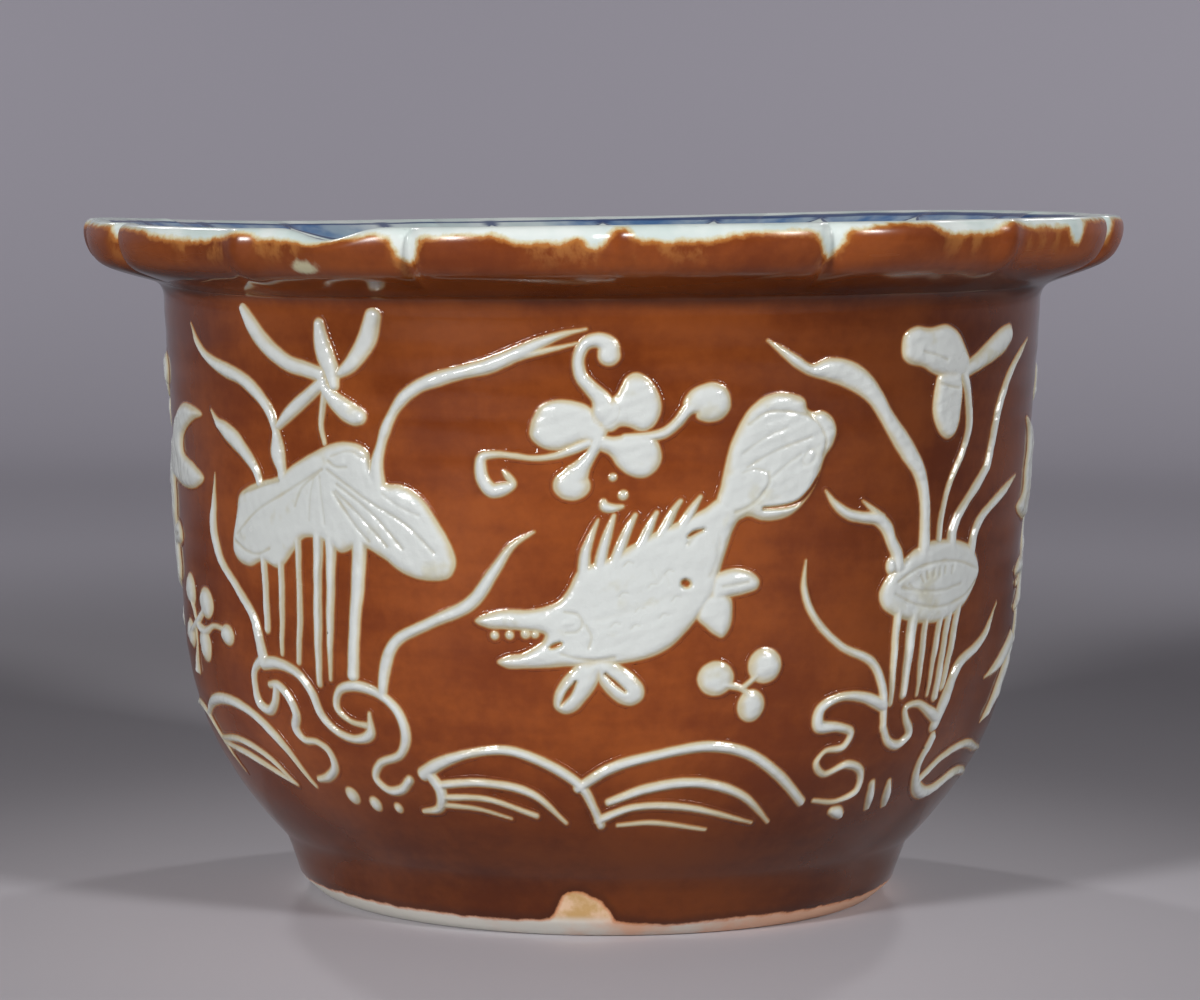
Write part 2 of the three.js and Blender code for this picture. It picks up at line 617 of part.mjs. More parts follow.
const leftWave = [
  trail(
    [-85, 47.3, 1.8], [-78.5, 48.6, 2], [-73.3, 46.9, 1.8], [-69.8, 41.2, 1.5], [-66, 34, 0.5],
  ),
  trail(
    [-73.6, 46.9, 1.6], [-68.5, 51.4, 2.6], [-61.5, 53.4, 2.8], [-54.8, 51.7, 2.6],
    [-49.5, 46.2, 2.6], [-44.7, 35.2, 1.2],
  ),
  trail([-70.2, 41.7, 1.4], [-60.5, 43.2, 1.9], [-53.5, 40.2, 1.8], [-49.3, 34.6, 1]),
  trail([-69.6, 40.8, 1.3], [-60, 39.7, 2], [-53.5, 37, 1.7], [-49.6, 34.9, 1.4]),
];

const rightWave = [
  trail(
    [52.9, 47.4, 2.6], [51.9, 41, 2.4], [53.4, 35.7, 3], [58.5, 32, 3.3], [66, 35.2, 2.8],
    [74, 34, 1.8], [80, 31.6, 0.8],
  ),
  trail([53.6, 35.8, 2.2], [58, 40.9, 2.2], [65, 42.9, 2.2], [74, 40, 1.8], [83, 37.8, 0.8]),
];

// Sprigs at the sides
const roundSprig = [
  drop(-72, 79, 4.6, 4.2),
  drop(-65, 76.9, 4.8, 3.9),
  drop(-74, 67.6, 4.4, 3.7),
  drop(-66.6, 66.2, 4.3, 4.4),
  drop(-58.4, 70.2, 3.4, 2.6),
  trail([-65.6, 75.5, 2], [-69, 71.6, 2.4], [-73.4, 68, 2.4]),
  trail([-69.6, 71, 2.2], [-66, 69.6, 2.4], [-62.5, 71.6, 1.2], [-58.8, 71.2, 1.6]),
  trail([-70.4, 70.8, 1.6], [-70.8, 64.5, 1.3], [-72.6, 58.6, 2.8]),
  trail([-69.6, 71.4, 1.6], [-72, 77, 2]),
];

const sideLeaf = [
  pool(
    [73, 99.7], [76.5, 96.8], [81, 95.8], [85.5, 99], [87.3, 107], [84.5, 116], [79, 119.8],
    [74, 121.5], [77, 116.5], [76.9, 108], [76.7, 103],
  ),
];

const sideWeed = [
  trail([65.4, 59.4, 0.5], [70.5, 61.8, 3.6], [78, 66.2, 5]),
  trail([69.4, 47.4, 0.5], [73, 53.4, 5.6], [77.6, 64.8, 4.6]),
];

add("pot_body", potGeometry(), glaze);

addSlip("left_lotus_leaf_clump", leafClump);
addSlip("left_lotus_blossom", leafBlossom);
addSlip("left_root_scrolls", leafRoots);
addSlip("right_seed_pod_clump", podClump);
addSlip("right_lotus_blossom", podBlossom);
addSlip("right_root_scrolls", podRoots);
addSlip("front_fish", [...fishBody, ...fanTail]);
addSlip("front_scroll_flower", [...scrollFlower, ...scrollHook]);
addSlip("front_berries", berries);
addSlip("front_waves", frontWaves);
addSlip("front_wave_middle_arc", waveMiddle);
addSlip("front_wave_inner_arc", waveInner);
addSlip("left_wave", leftWave);
addSlip("right_wave", rightWave);

// Small drops and dashes between the motifs
const drops = [[1.5, 112.1, 0.9], [2.8, 109, 1.1], [-37.7, 34.1, 2.2], [-33.9, 32.6, 1.9], [-30, 32.2, 1.3]];
drops.forEach(([degrees, height, radius], i) =>
  addSlip(`slip_drop_${i + 1}`, [bead(degrees, height, radius)]),
);
const dashes = [
  [[0.2, 106, 1.6], [1.3, 105.4, 2], [2.7, 105.9, 1]],
  [[36.5, 31.6, 2], [37.8, 31, 3], [38.8, 30, 2]],
  [[42.5, 37.6, 2], [43.2, 34.5, 2.6], [44, 31.2, 1.8]],
  [[46.2, 37.4, 1.4], [47, 34.2, 2.8], [47.9, 31.2, 1.8]],
];
dashes.forEach((points, i) => addSlip(`slip_dash_${i + 1}`, [trail(...points)]));

// The frieze goes on round the sides and the back with the same motifs, drawn more plainly.
const rear = { turn: 184, corner: plainTurn };
const sideLift = 4;
addSlip("left_fish", [...fishBody, ...forkedTail], { turn: -95, lift: sideLift, corner: plainTurn });
addSlip("left_scroll_flower", scrollFlower, { turn: -95, lift: sideLift, corner: plainTurn });
addSlip("left_round_sprig", roundSprig);
addSlip("right_fish", [...fishBody, ...forkedTail], { turn: 91, lift: sideLift, corner: plainTurn });
addSlip("right_scroll_flower", scrollFlower, { turn: 95, lift: sideLift, corner: plainTurn });
addSlip("right_side_leaf", sideLeaf);
addSlip("right_side_weed", sideWeed);
addSlip("rear_round_sprig", roundSprig, rear);
addSlip("rear_lotus_leaf_clump", leafClump, rear);
addSlip("rear_lotus_blossom", leafBlossom, rear);
addSlip("rear_leaf_root_scrolls", leafRoots, rear);
addSlip("rear_seed_pod_clump", podClump, rear);
addSlip("rear_pod_blossom", podBlossom, rear);
addSlip("rear_pod_root_scrolls", podRoots, rear);
addSlip("rear_fish", [...fishBody, ...fanTail], rear);
addSlip("rear_scroll_flower", [...scrollFlower, ...scrollHook], rear);
addSlip("rear_berries", berries, rear);
addSlip("rear_waves", frontWaves, rear);
addSlip("rear_wave_middle_arc", waveMiddle, rear);
addSlip("rear_leaf_wave", leftWave, rear);
addSlip("rear_pod_wave", rightWave, rear);

export default jardiniere;
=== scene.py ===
# %% [markdown]
# A jardiniere is a plant pot with a spreading rim. This one is porcelain under a thin coffee-brown
# glaze, with a frieze of fish, lotus and waves in raised white slip, white and blue paint at the
# lip, and a bare foot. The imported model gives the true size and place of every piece, and this
# file makes the surfaces that are seen.

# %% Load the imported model
import math

import bpy
import numpy as np
from mathutils import Matrix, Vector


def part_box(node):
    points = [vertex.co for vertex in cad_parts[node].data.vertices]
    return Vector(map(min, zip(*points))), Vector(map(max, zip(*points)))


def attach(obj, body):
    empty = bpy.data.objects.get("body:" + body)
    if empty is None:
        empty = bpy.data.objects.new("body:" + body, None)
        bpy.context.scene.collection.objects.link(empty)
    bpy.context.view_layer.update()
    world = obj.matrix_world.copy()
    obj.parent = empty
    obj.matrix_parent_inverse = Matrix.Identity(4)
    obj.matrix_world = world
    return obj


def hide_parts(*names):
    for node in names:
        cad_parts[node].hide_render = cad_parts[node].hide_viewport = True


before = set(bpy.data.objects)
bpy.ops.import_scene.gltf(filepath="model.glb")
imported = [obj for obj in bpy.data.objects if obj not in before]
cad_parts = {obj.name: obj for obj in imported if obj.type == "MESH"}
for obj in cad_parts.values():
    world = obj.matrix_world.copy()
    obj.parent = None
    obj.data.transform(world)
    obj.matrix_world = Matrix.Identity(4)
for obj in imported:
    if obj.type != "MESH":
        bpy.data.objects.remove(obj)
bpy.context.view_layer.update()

print("nodes in the frame:", len(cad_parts))

# %% [markdown]
# The camera stands a little above the rim and almost a metre away, with a long lens, so the
# rim is seen nearly edge on. A small roll makes up for a stand that wasn't quite level.

# %% Camera
MM = 0.001
camera_place = (0.0, -0.950, 0.177)
camera_down = math.radians(4.75)
camera_roll = math.radians(0.56)

camera_data = bpy.data.cameras.new("camera")
camera_data.lens = 112.5
camera_data.sensor_width = 36.0
camera = bpy.data.objects.new("camera", camera_data)
camera.location = camera_place
aimed = Matrix.Rotation(math.pi / 2 - camera_down, 3, "X") @ Matrix.Rotation(camera_roll, 3, "Z")
camera.rotation_euler = aimed.to_euler()
bpy.context.scene.collection.objects.link(camera)
bpy.context.scene.camera = camera
bpy.context.scene.view_settings.view_transform = "Standard"

# %% [markdown]
# A mesh is made from two whole arrays, one of points and one of faces. Values that a material
# needs, such as how thick the slip is, go along as named attributes of the points.

# %% From arrays to a mesh
def make_mesh(name, points, faces, values=None):
    """Points in millimetres and quads become a smooth mesh object in metres, at the origin."""
    mesh = bpy.data.meshes.new(name)
    mesh.vertices.add(len(points))
    mesh.vertices.foreach_set("co", (np.asarray(points) * MM).astype(np.float32).ravel())
    mesh.loops.add(faces.size)
    mesh.loops.foreach_set("vertex_index", faces.astype(np.int32).ravel())
    mesh.polygons.add(len(faces))
    mesh.polygons.foreach_set("loop_start", np.arange(0, faces.size, faces.shape[1], dtype=np.int32))
    mesh.polygons.foreach_set("use_smooth", np.ones(len(faces), dtype=bool))
    for key, numbers in (values or {}).items():
        attribute = mesh.attributes.new(key, "FLOAT", "POINT")
        attribute.data.foreach_set("value", np.asarray(numbers, dtype=np.float32).ravel())
    mesh.update(calc_edges=True)
    thing = bpy.data.objects.new(name, mesh)
    bpy.context.scene.collection.objects.link(thing)
    return thing


def grid_faces(rows, columns, close_rows=False, close_columns=True):
    """Quads between neighbouring rows and columns of a grid of points, row after row."""
    r = np.arange(rows if close_rows else rows - 1)[:, None]
    c = np.arange(columns if close_columns else columns - 1)[None, :]
    across, up = (c + 1) % columns, (r + 1) % rows
    corners = (r * columns + c, r * columns + across, up * columns + across, up * columns + c)
    return np.stack([corner.ravel() for corner in corners], axis=1)


# %% [markdown]
# Every outline here, the pot's section and the slip's too, is a smooth line through a few points.
# A centripetal Catmull-Rom line passes through its points and doesn't loop at tight corners.

# %% A smooth line through points
def smooth_line(points, closed=False, samples=8):
    """Cubic spans whose end slopes come from the square roots of the distances between points."""
    p = np.asarray(points, dtype=float)
    if closed:
        p = np.vstack([p[-1], p, p[0], p[1]])
    else:
        p = np.vstack([2 * p[0] - p[1], p, 2 * p[-1] - p[-2]])
    p0, p1, p2, p3 = p[:-3], p[1:-2], p[2:-1], p[3:]
    step = [np.sqrt(np.linalg.norm(b - a, axis=1))[:, None] for a, b in ((p0, p1), (p1, p2), (p2, p3))]
    d0, d1, d2 = [np.maximum(d, 1e-4) for d in step]
    start = ((p1 - p0) / d0 - (p2 - p0) / (d0 + d1) + (p2 - p1) / d1) * d1
    end = ((p2 - p1) / d1 - (p3 - p1) / (d1 + d2) + (p3 - p2) / d2) * d1
    t = (np.arange(samples) / samples)[None, :, None]
    p1, p2, start, end = (a[:, None, :] for a in (p1, p2, start, end))
    cubic = (2 * p1 - 2 * p2 + start + end) * t**3 + (-3 * p1 + 3 * p2 - 2 * start - end) * t**2
    line = (cubic + start * t + p1).reshape(-1, p.shape[1])
    return line if closed else np.vstack([line, p[-2]])


# %% [markdown]
# The wall is a straight taper less a round that draws the bowl in to its foot, and the whole
# pot sagged a little in the kiln, so its upper wall leans up to one side. The slip has to lie
# on exactly this wall, so the wall is one function that both use. Its slight waviness is what
# makes the reflections of a thrown pot look alive.

# %% The wall as a function
rim_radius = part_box("pot_body")[1][0] / MM
overall_height = 169.0
flange_reach, flange_rise = 20.4, 20.0
neck_radius, neck_height = rim_radius - flange_reach, overall_height - flange_rise
foot_height, foot_top_radius = 14.0, 79.2
wall_thickness, wall_slope = 6.5, 0.064
bowl_height, bowl_roundness = 58.0, 2.4
sag_slope, sag_start = math.tan(math.radians(0.85)), 20.0
flange_sag_slope, flange_sag_reach = math.tan(math.radians(0.4)), 12.0
rim_lifts = [(-90, 55, 2.2), (135, 45, 1.0)]
ring_depth, ring_pitch = 0.05, 8.5
wave_depth = 0.16


def smoothstep(x, low, high):
    """0 below low, 1 above high, and an S-shaped rise between."""
    t = np.clip((x - low) / (high - low), 0, 1)
    return t * t * (3 - 2 * t)


def wrapped(degrees):
    return (np.asarray(degrees) + 180) % 360 - 180


def straight_radius(z):
    return neck_radius - wall_slope * (neck_height - z)


def wall_radius(z):
    """The straight taper less the bowl's draw, which fades out at the bowl's height."""
    draw = straight_radius(foot_height) - foot_top_radius
    rise = np.clip((z - foot_height) / bowl_height, 0, 1)
    return straight_radius(z) - draw * (1 - rise) ** bowl_roundness


def wall_waviness(degrees, z):
    """Throwing rings and a few long waves round the pot, faded out at the foot and the neck."""
    angle = np.radians(degrees)
    rings = ring_depth * np.sin(2 * np.pi * z / ring_pitch + 0.8 * np.sin(2 * angle))
    long_waves = np.sin(3 * angle + 0.031 * z) + 0.7 * np.sin(5 * angle - 0.052 * z + 1.0)
    short_waves = 0.4 * np.sin(11 * angle + 0.11 * z) + 0.25 * np.sin(17 * angle - 0.19 * z + 2.0)
    inside_band = smoothstep(z, foot_height, foot_height + 12) * (1 - smoothstep(z, neck_height - 8, neck_height))
    return (rings + wave_depth * (long_waves + short_waves)) * inside_band


def rim_lift(degrees):
    """Where the rim curled up in the kiln: a cosine bell round each place."""
    away = [wrapped(degrees - middle) / half for middle, half, tall in rim_lifts]
    return sum(lift[2] * (0.5 + 0.5 * np.cos(np.pi * np.clip(t, -1, 1))) for t, lift in zip(away, rim_lifts))


def around(degrees, radius, z):
    """Degrees from the front towards +X, a radius and a height, as points with the kiln's sag."""
    angle = np.radians(degrees)
    x, y = radius * np.sin(angle), -radius * np.cos(angle)
    slope = sag_slope * smoothstep(z, sag_start, neck_height)
    slope = slope + flange_sag_slope * smoothstep(z, neck_height, neck_height + flange_sag_reach)
    curled = rim_lift(degrees) * smoothstep(z, neck_height - 10, neck_height + 6)
    return np.stack([x, y, z + x * slope + curled], axis=-1)


print("wall radius at half height:", round(float(wall_radius(85.0)), 1), "mm")

# %% [markdown]
# The rim was cut by hand into eight brackets: each has a sharp ridge at its tip, a hollow on both
# sides of it and a full round shoulder, and a groove parts it from the next. The even spacing of
# a wheel would look wrong, so the tips and grooves are moved by the degrees that the cutter's
# hand gave them.

# %% The rim's lobes
lobe_count = 8
lobe_pitch = 360 / lobe_count
hollow_depth, groove_depth, groove_width = 1.9, 1.7, 1.0
ridge_width = 1.7
shoulder_middle, shoulder_half = 15.4, 7.2
even_marks = np.arange(-180, 181, 22.5)
cut_marks = np.array([
    -180, -157, -136, -112, -88, -64.3, -39.8, -19.8, 1.2, 23.5, 46.3, 71.6, 92, 113, 135, 158, 180,
])
dip_centre, dip_half_width, dip_depth = -28.8, 6.5, 2.7


def from_tip_and_groove(degrees):
    """Degrees to the nearest tip and to the nearest groove, as on an evenly divided rim."""
    even = np.interp(wrapped(degrees), cut_marks, even_marks)
    from_tip = np.abs((even + lobe_pitch / 2) % lobe_pitch - lobe_pitch / 2)
    return from_tip, lobe_pitch / 2 - from_tip


def lobe_inset(degrees):
    """How far the rim stands in: a hollow, less a bell-shaped ridge or a parabola's shoulder, and the groove."""
    from_tip, from_groove = from_tip_and_groove(degrees)
    ridge = np.exp(-((from_tip / ridge_width) ** 2))
    shoulder = np.clip(1 - ((from_tip - shoulder_middle) / shoulder_half) ** 2, 0, 1)
    return hollow_depth * (1 - np.maximum(ridge, shoulder)) + groove_depth * np.exp(-((from_groove / groove_width) ** 2))


# %% [markdown]
# The pot's section is one closed loop: under the foot, up the outside, over the rim, down the
# inside and through the drain hole. Turned round the axis it makes the whole body in one piece,
# as thrown. Each row also carries how far it is along the lip, which the glaze needs later.

# %% The section
foot_recess, floor_top, drain_radius = 5.0, 13.0, 11.0
foot_points = [
    (11.0, 6.2), (11.8, 5.0), (34.0, 5.0), (59.6, 5.0), (61.0, 4.2), (62.4, 0.5), (63.4, 0.0),
    (67.0, 0.0), (70.2, 0.0), (71.3, 0.35), (73.2, 1.9), (75.0, 3.5), (75.8, 4.6), (76.6, 7.0), (77.8, 10.4),
]
rim_points = [
    (0.0, 0.03), (0.02, 0.1), (0.065, 0.165), (0.16, 0.215), (0.38, 0.285), (0.62, 0.365),
    (0.78, 0.435), (0.89, 0.525), (0.965, 0.66), (1.0, 0.81), (0.99, 0.915), (0.95, 0.975),
    (0.885, 1.0), (0.81, 0.985), (0.66, 0.935), (0.43, 0.83), (0.2, 0.67), (0.0, 0.5),
    (-0.15, 0.3), (-0.26, 0.1),
]
crest_point = 12
rim_samples = 3
inner_heights = np.linspace(148, 22, 22)
floor_points = [(76.0, 19.0), (70.5, 14.6), (63.0, 13.0), (40.0, 13.0), (20.0, 13.0), (11.8, 13.0), (11.0, 12.2)]


def pot_section():
    """Rows of radius, height, share of the lobes, share of the dip and run past the lip's crest."""
    foot = np.array(foot_points)
    heights = np.arange(foot_height, neck_height, 2.0)
    wall = np.stack([wall_radius(heights), heights], axis=1)
    rim = smooth_line(rim_points, samples=rim_samples)
    out, up = rim[:, 0], rim[:, 1]
    flange = np.stack([neck_radius + flange_reach * out, neck_height + flange_rise * up], axis=1)
    inner = np.stack([wall_radius(inner_heights) - wall_thickness, inner_heights], axis=1)
    rows = np.vstack([foot, wall, flange, inner, np.array(floor_points)])

    first = len(foot) + len(wall)
    on_rim = slice(first, first + len(flange))
    crest = first + crest_point * rim_samples
    lobed, dipped = np.zeros(len(rows)), np.zeros(len(rows))
    lobed[on_rim] = smoothstep(out, 0.05, 0.9)
    dipped[on_rim] = smoothstep(up, 0.62, 0.98) * smoothstep(out, 0.35, 0.85)
    steps = np.linalg.norm(np.diff(rows, axis=0), axis=1)
    along = np.concatenate([[0], np.cumsum(steps)])
    return rows, lobed, dipped, along[crest] - along


pot_rows, row_lobed, row_dipped, row_run = pot_section()
print("section rows:", len(pot_rows))

# %% [markdown]
# The white at the lip is where the brown glaze was wiped away: it dips into the notches, runs
# wide in the hollows and is nearly gone on the shoulders. Its lower edge is a smooth line of
# degrees and millimetres below the crest, read from the pot, and repeated for the hidden half.

# %% The wiped edge at the lip and the bare line at the foot
wiped_edge = np.array([
    (-90, 2.6), (-80, 2.0), (-65.7, 1.8), (-64.9, 5.0), (-64.1, 5.0), (-63.3, 1.8), (-58, 1.9), (-55.3, 2.4),
    (-53, 3.3), (-50.5, 4.0), (-45, 4.0), (-42.5, 3.2), (-40.6, 2.6), (-39, 1.9), (-37.4, 3.4), (-35.8, 3.8),
    (-32.8, 3.6), (-30, 2.3), (-28.3, 1.2), (-26, 1.7), (-24.4, 2.6), (-22.8, 2.6), (-21.4, 3.6), (-20.7, 7.6),
    (-19.8, 9.2), (-18.9, 8.4), (-18.3, 3.6), (-16, 3.4), (-14, 3.0), (-10.7, 3.0), (-9.6, 3.9), (-8.2, 4.9),
    (-3.8, 5.0), (-2.9, 4.0), (-2.2, 3.8), (-1.5, 5.6), (-0.4, 6.4), (0.4, 4.0), (1.2, 1.6), (2.4, 1.8),
    (3.2, 4.0), (4.4, 4.8), (10.6, 4.8), (12.6, 3.8), (14, 3.2), (19, 3.0), (21.6, 3.6), (22.6, 7.8),
    (23.4, 9.0), (24.2, 7.4), (25, 3.2), (27.8, 2.4), (30, 1.3), (34.5, 1.6), (36.2, 3.6), (38, 4.2),
    (43.8, 4.2), (45.2, 2.4), (46.4, 1.4), (47.6, 2.0), (49.5, 3.2), (57.5, 3.4), (58.6, 7.2), (59.8, 7.2),
    (61, 1.6), (70.4, 1.6), (71.2, 7.6), (72.2, 7.4), (73.4, 1.8), (90, 2.6),
])
bare_line = np.array([
    (-180, 3.8), (-90, 4.2), (-60, 4.6), (-42, 4.5), (-25, 4.2), (-12, 4.4), (-8.4, 4.8), (-7.2, 6.0), (-6.4, 8.6),
    (-5.6, 11.2), (-4.2, 12.0), (-1.6, 11.4), (0.6, 9.8), (2.2, 7.4), (3.6, 4.6), (12, 3.2), (20, 3.9), (32, 4.2),
    (45, 4.0), (60, 4.4), (75, 4.8), (110, 4.2), (180, 3.8),
])


def past_line(line, degrees, along, per_degree):
    """Millimetres past the line's nearest span: positive above its value, and negative below it."""
    drawn = line * (per_degree, 1.0)
    a, b = drawn[:-1], drawn[1:]
    span = b - a
    away_u, away_v = degrees[..., None] * per_degree - a[:, 0], along[..., None] - a[:, 1]
    t = np.clip((away_u * span[:, 0] + away_v * span[:, 1]) / (span**2).sum(axis=1), 0, 1)
    distance = np.hypot(away_u - t * span[:, 0], away_v - t * span[:, 1]).min(axis=-1)
    return distance * np.sign(along - np.interp(degrees, line[:, 0], line[:, 1]))


# %% The pot body
columns = 540
even_turn = np.linspace(-180, 180, 7201)
from_tip, from_groove = from_tip_and_groove(even_turn)
crowding = 1 + 2.2 * np.exp(-((from_groove / 1.3) ** 2)) + 1.6 * np.exp(-((from_tip / 2.2) ** 2))
so_far = np.concatenate([[0], np.cumsum(crowding[1:] + crowding[:-1])])
pot_degrees = np.interp(np.arange(columns) / columns, so_far / so_far[-1], even_turn)
radius = pot_rows[:, :1] - row_lobed[:, None] * lobe_inset(pot_degrees)[None, :]
near_dip = np.clip(wrapped(pot_degrees - dip_centre) / dip_half_width, -1, 1)
dip = dip_depth * (0.5 + 0.5 * np.cos(np.pi * near_dip))
height = pot_rows[:, 1:] - row_dipped[:, None] * dip[None, :]
outside = (row_run > 0)[:, None]
radius = radius + np.where(outside, wall_waviness(pot_degrees[None, :], height), 0)
pot_points = around(pot_degrees[None, :], radius, height).reshape(-1, 3)

front_half = np.where(np.abs(pot_degrees) <= 90, pot_degrees, wrapped(pot_degrees - 180))
full = np.ones((len(pot_rows), columns))
run_here, half_here, turn_here = row_run[:, None] * full, front_half[None, :] * full, pot_degrees[None, :] * full
below_wipe = past_line(wiped_edge, half_here, run_here, math.radians(rim_radius))
above_bare = np.where(outside, past_line(bare_line, turn_here, height, math.radians(foot_top_radius)), 40.0)
pale_place = ((turn_here + 31.5) / 2.2) ** 2 + ((run_here - 10.5) / 2.8) ** 2
under_foot = (np.arange(len(pot_rows)) < 9)[:, None]
above_bare = np.where(under_foot, -6.0, above_bare)
hollow = np.clip(lobe_inset(pot_degrees) / hollow_depth, 0, 1)
pot_values = {
    "lip_run": run_here,
    "pale_patch": np.exp(-pale_place),
    "below_wipe": below_wipe,
    "above_bare": above_bare,
    "lip_hollow": row_lobed[:, None] * hollow[None, :],
}
pot = make_mesh("glazed_pot", pot_points, grid_faces(len(pot_rows), columns, close_rows=True), pot_values)
print("pot triangles:", 2 * len(pot.data.polygons))

# %% [markdown]
# The slip was trailed from a nozzle and pooled like icing, so each motif is worked out as a
# height above the wall on a flat drawing: run round the pot across, height up. A trail is a
# smooth line with a changing width and a round section. A pool is a smooth outline that rises
# from its edge to a soft top. Each shape is a function that gives, for any flat point, how far
# inside the edge it is and how thick the slip is there.

# %% Shapes of slip
drawn_radius, drawn_share = 107.0, 0.9925
drawn_low, drawn_high = 14.0, 150.0
trail_thickness, trail_width, slim_trail, full_trail = 0.8, 2.4, 0.35, 1.2
pool_thickness, pool_shoulder = 0.95, 2.6
lip_of_slip, sunk_edge = 0.14, 0.02
sheet_edge = -0.9
far_off = -9.0
reach = 1.6


def flat(degrees_and_heights):
    """Degrees and heights as millimetres of run and height on the flat drawing."""
    p = np.array(degrees_and_heights, dtype=float)
    p[:, 0] = np.radians(p[:, 0] * drawn_share) * drawn_radius
    return p


def segment_distance(u, v, line):
    """Distance from every point to every span of a line, and how far along the span it is."""
    a, b = line[:-1, :2], line[1:, :2]
    du, dv = (b - a).T
    length = np.maximum(du * du + dv * dv, 1e-9)
    along = np.clip(((u[:, None] - a[:, 0]) * du + (v[:, None] - a[:, 1]) * dv) / length, 0, 1)
    return np.hypot(u[:, None] - a[:, 0] - along * du, v[:, None] - a[:, 1] - along * dv), along


def soft_top(edge, half, thickness):
    """A parabola from the edge to the middle, gentle at first, on a low lip that fades into the wall."""
    t = np.clip(edge / half, 0, 1)
    lip = lip_of_slip * smoothstep(edge, sheet_edge, 0.4) - sunk_edge
    return lip + thickness * t * (2 - t) * (0.5 + 0.5 * smoothstep(edge, 0, 0.7))


def boxed(line, field):
    """Works a shape out only near its own points, and leaves the rest far outside."""
    low, high = line.min(axis=0)[:2] - reach - 4, line.max(axis=0)[:2] + reach + 4

    def near(u, v):
        edge, top = np.full(u.shape, far_off), np.full(u.shape, far_off)
        close = (u > low[0]) & (u < high[0]) & (v > low[1]) & (v < high[1])
        edge[close], top[close] = field(u[close], v[close])
        return edge, top

    near.low, near.high = low, high
    return near


def trail(*points):
    """A line of degrees, height and width: the edge is half the width less the distance from it."""
    line = smooth_line(flat(points))

    def field(u, v):
        distance, along = segment_distance(u, v, line)
        width = line[:-1, 2] + along * (line[1:, 2] - line[:-1, 2])
        edge = width / 2 - distance
        nearest = edge.argmax(axis=1)[:, None]
        edge = np.take_along_axis(edge, nearest, 1)[:, 0]
        width = np.take_along_axis(width, nearest, 1)[:, 0]
        crown = trail_thickness * np.clip(width / trail_width, slim_trail, full_trail)
        return edge, soft_top(edge, width / 2, crown)

    return boxed(line, field)


def inside_outline(u, v, line):
    """Signed distance to a closed outline: positive where a ray to the right crosses it oddly often."""
    ring = np.vstack([line, line[:1]])
    distance = segment_distance(u, v, ring)[0].min(axis=1)
    a, b = ring[:-1], ring[1:]
    level = (a[:, 1] > v[:, None]) != (b[:, 1] > v[:, None])
    slope = (b[:, 0] - a[:, 0]) / np.where(b[:, 1] == a[:, 1], 1e-9, b[:, 1] - a[:, 1])
    crossed = level & (u[:, None] < a[:, 0] + (v[:, None] - a[:, 1]) * slope)
    return np.where(crossed.sum(axis=1) % 2 == 1, distance, -distance)


def pool(*points, thickness=pool_thickness, shoulder=pool_shoulder):
    """A closed smooth outline of degrees and heights, thick to its shoulder."""
    line = smooth_line(flat(points), closed=True)

    def field(u, v):
        edge = inside_outline(u, v, line)
        return edge, soft_top(edge, shoulder, thickness)

    return boxed(line, field)


def drop(degrees, height, half_width, half_height, lean=0.0, thickness=pool_thickness):
    """An oval blob: half widths across and up, leaning by some degrees."""
    u0, v0 = flat([(degrees, height)])[0]
    turn, angle = np.linspace(0, 2 * np.pi, 40, endpoint=False), math.radians(lean)
    across, up = half_width * np.cos(turn), half_height * np.sin(turn)
    u = u0 + across * math.cos(angle) + up * math.sin(angle)
    v = v0 + up * math.cos(angle) - across * math.sin(angle)
    line = np.stack([u, v], axis=1)

    def field(u, v):
        edge = inside_outline(u, v, line)
        return edge, soft_top(edge, min(half_width, half_height), thickness)

    return boxed(line, field)


def bead(degrees, height, radius):
    """A round dot: its edge is the radius less the distance from its middle."""
    middle = flat([(degrees, height)])

    def field(u, v):
        edge = radius - np.hypot(u - middle[0, 0], v - middle[0, 1])
        return edge, soft_top(edge, radius, trail_thickness * 0.8)

    return boxed(middle, field)


# %% [markdown]
# Veins, gills and scales were scratched in the wet slip with a point. A scratch is a narrow
# trough along a line, and a hole is a place where the slip pulled back and the brown shows.

# %% Scratches and holes
scratch_width, scratch_depth = 0.45, 0.3


def scratch(*points, depth=scratch_depth, width=scratch_width):
    """A trough along a line: its depth falls off as a bell curve of the distance."""
    line = smooth_line(flat(points), samples=6)

    def field(u, v):
        distance = segment_distance(u, v, line)[0].min(axis=1)
        return depth * np.exp(-((distance / width) ** 2))

    field.low, field.high = line.min(axis=0) - 2, line.max(axis=0) + 2
    return field


def hole(degrees, height, half_width, half_height, lean=0.0):
    """An oval place with no slip, as a drop that is taken away."""
    return drop(degrees, height, half_width, half_height, lean)


# %% [markdown]
# A motif's shapes are joined by taking the thicker slip at each point, blended a little so
# that strokes melt together but still show where they cross. The height field is then cut out
# of a fine grid along its own edge, wrapped on the wall and closed below, which gives a real
# relief with a crisp outline instead of a painted picture.

# %% From shapes to a relief on the flat drawing
grid_step = 0.4
blend = 0.2
root_depth = 0.5


def ripple(u, v, size, seed):
    """A gentle unevenness: seven sines in seeded directions, about one high over its wavelength."""
    rng = np.random.default_rng(seed)
    angle, phase = rng.uniform(0, 2 * np.pi, 7), rng.uniform(0, 2 * np.pi, 7)
    pace = 2 * np.pi / size * rng.uniform(0.6, 1.5, 7)
    waves = [np.sin(w * (u * np.cos(a) + v * np.sin(a)) + p) for w, a, p in zip(pace, angle, phase)]
    return sum(waves) / 3.0


def thicker(a, b):
    """The larger of two heights, rounded where they are close."""
    h = np.clip(0.5 + 0.5 * (a - b) / blend, 0, 1)
    return b + (a - b) * h + blend * h * (1 - h)


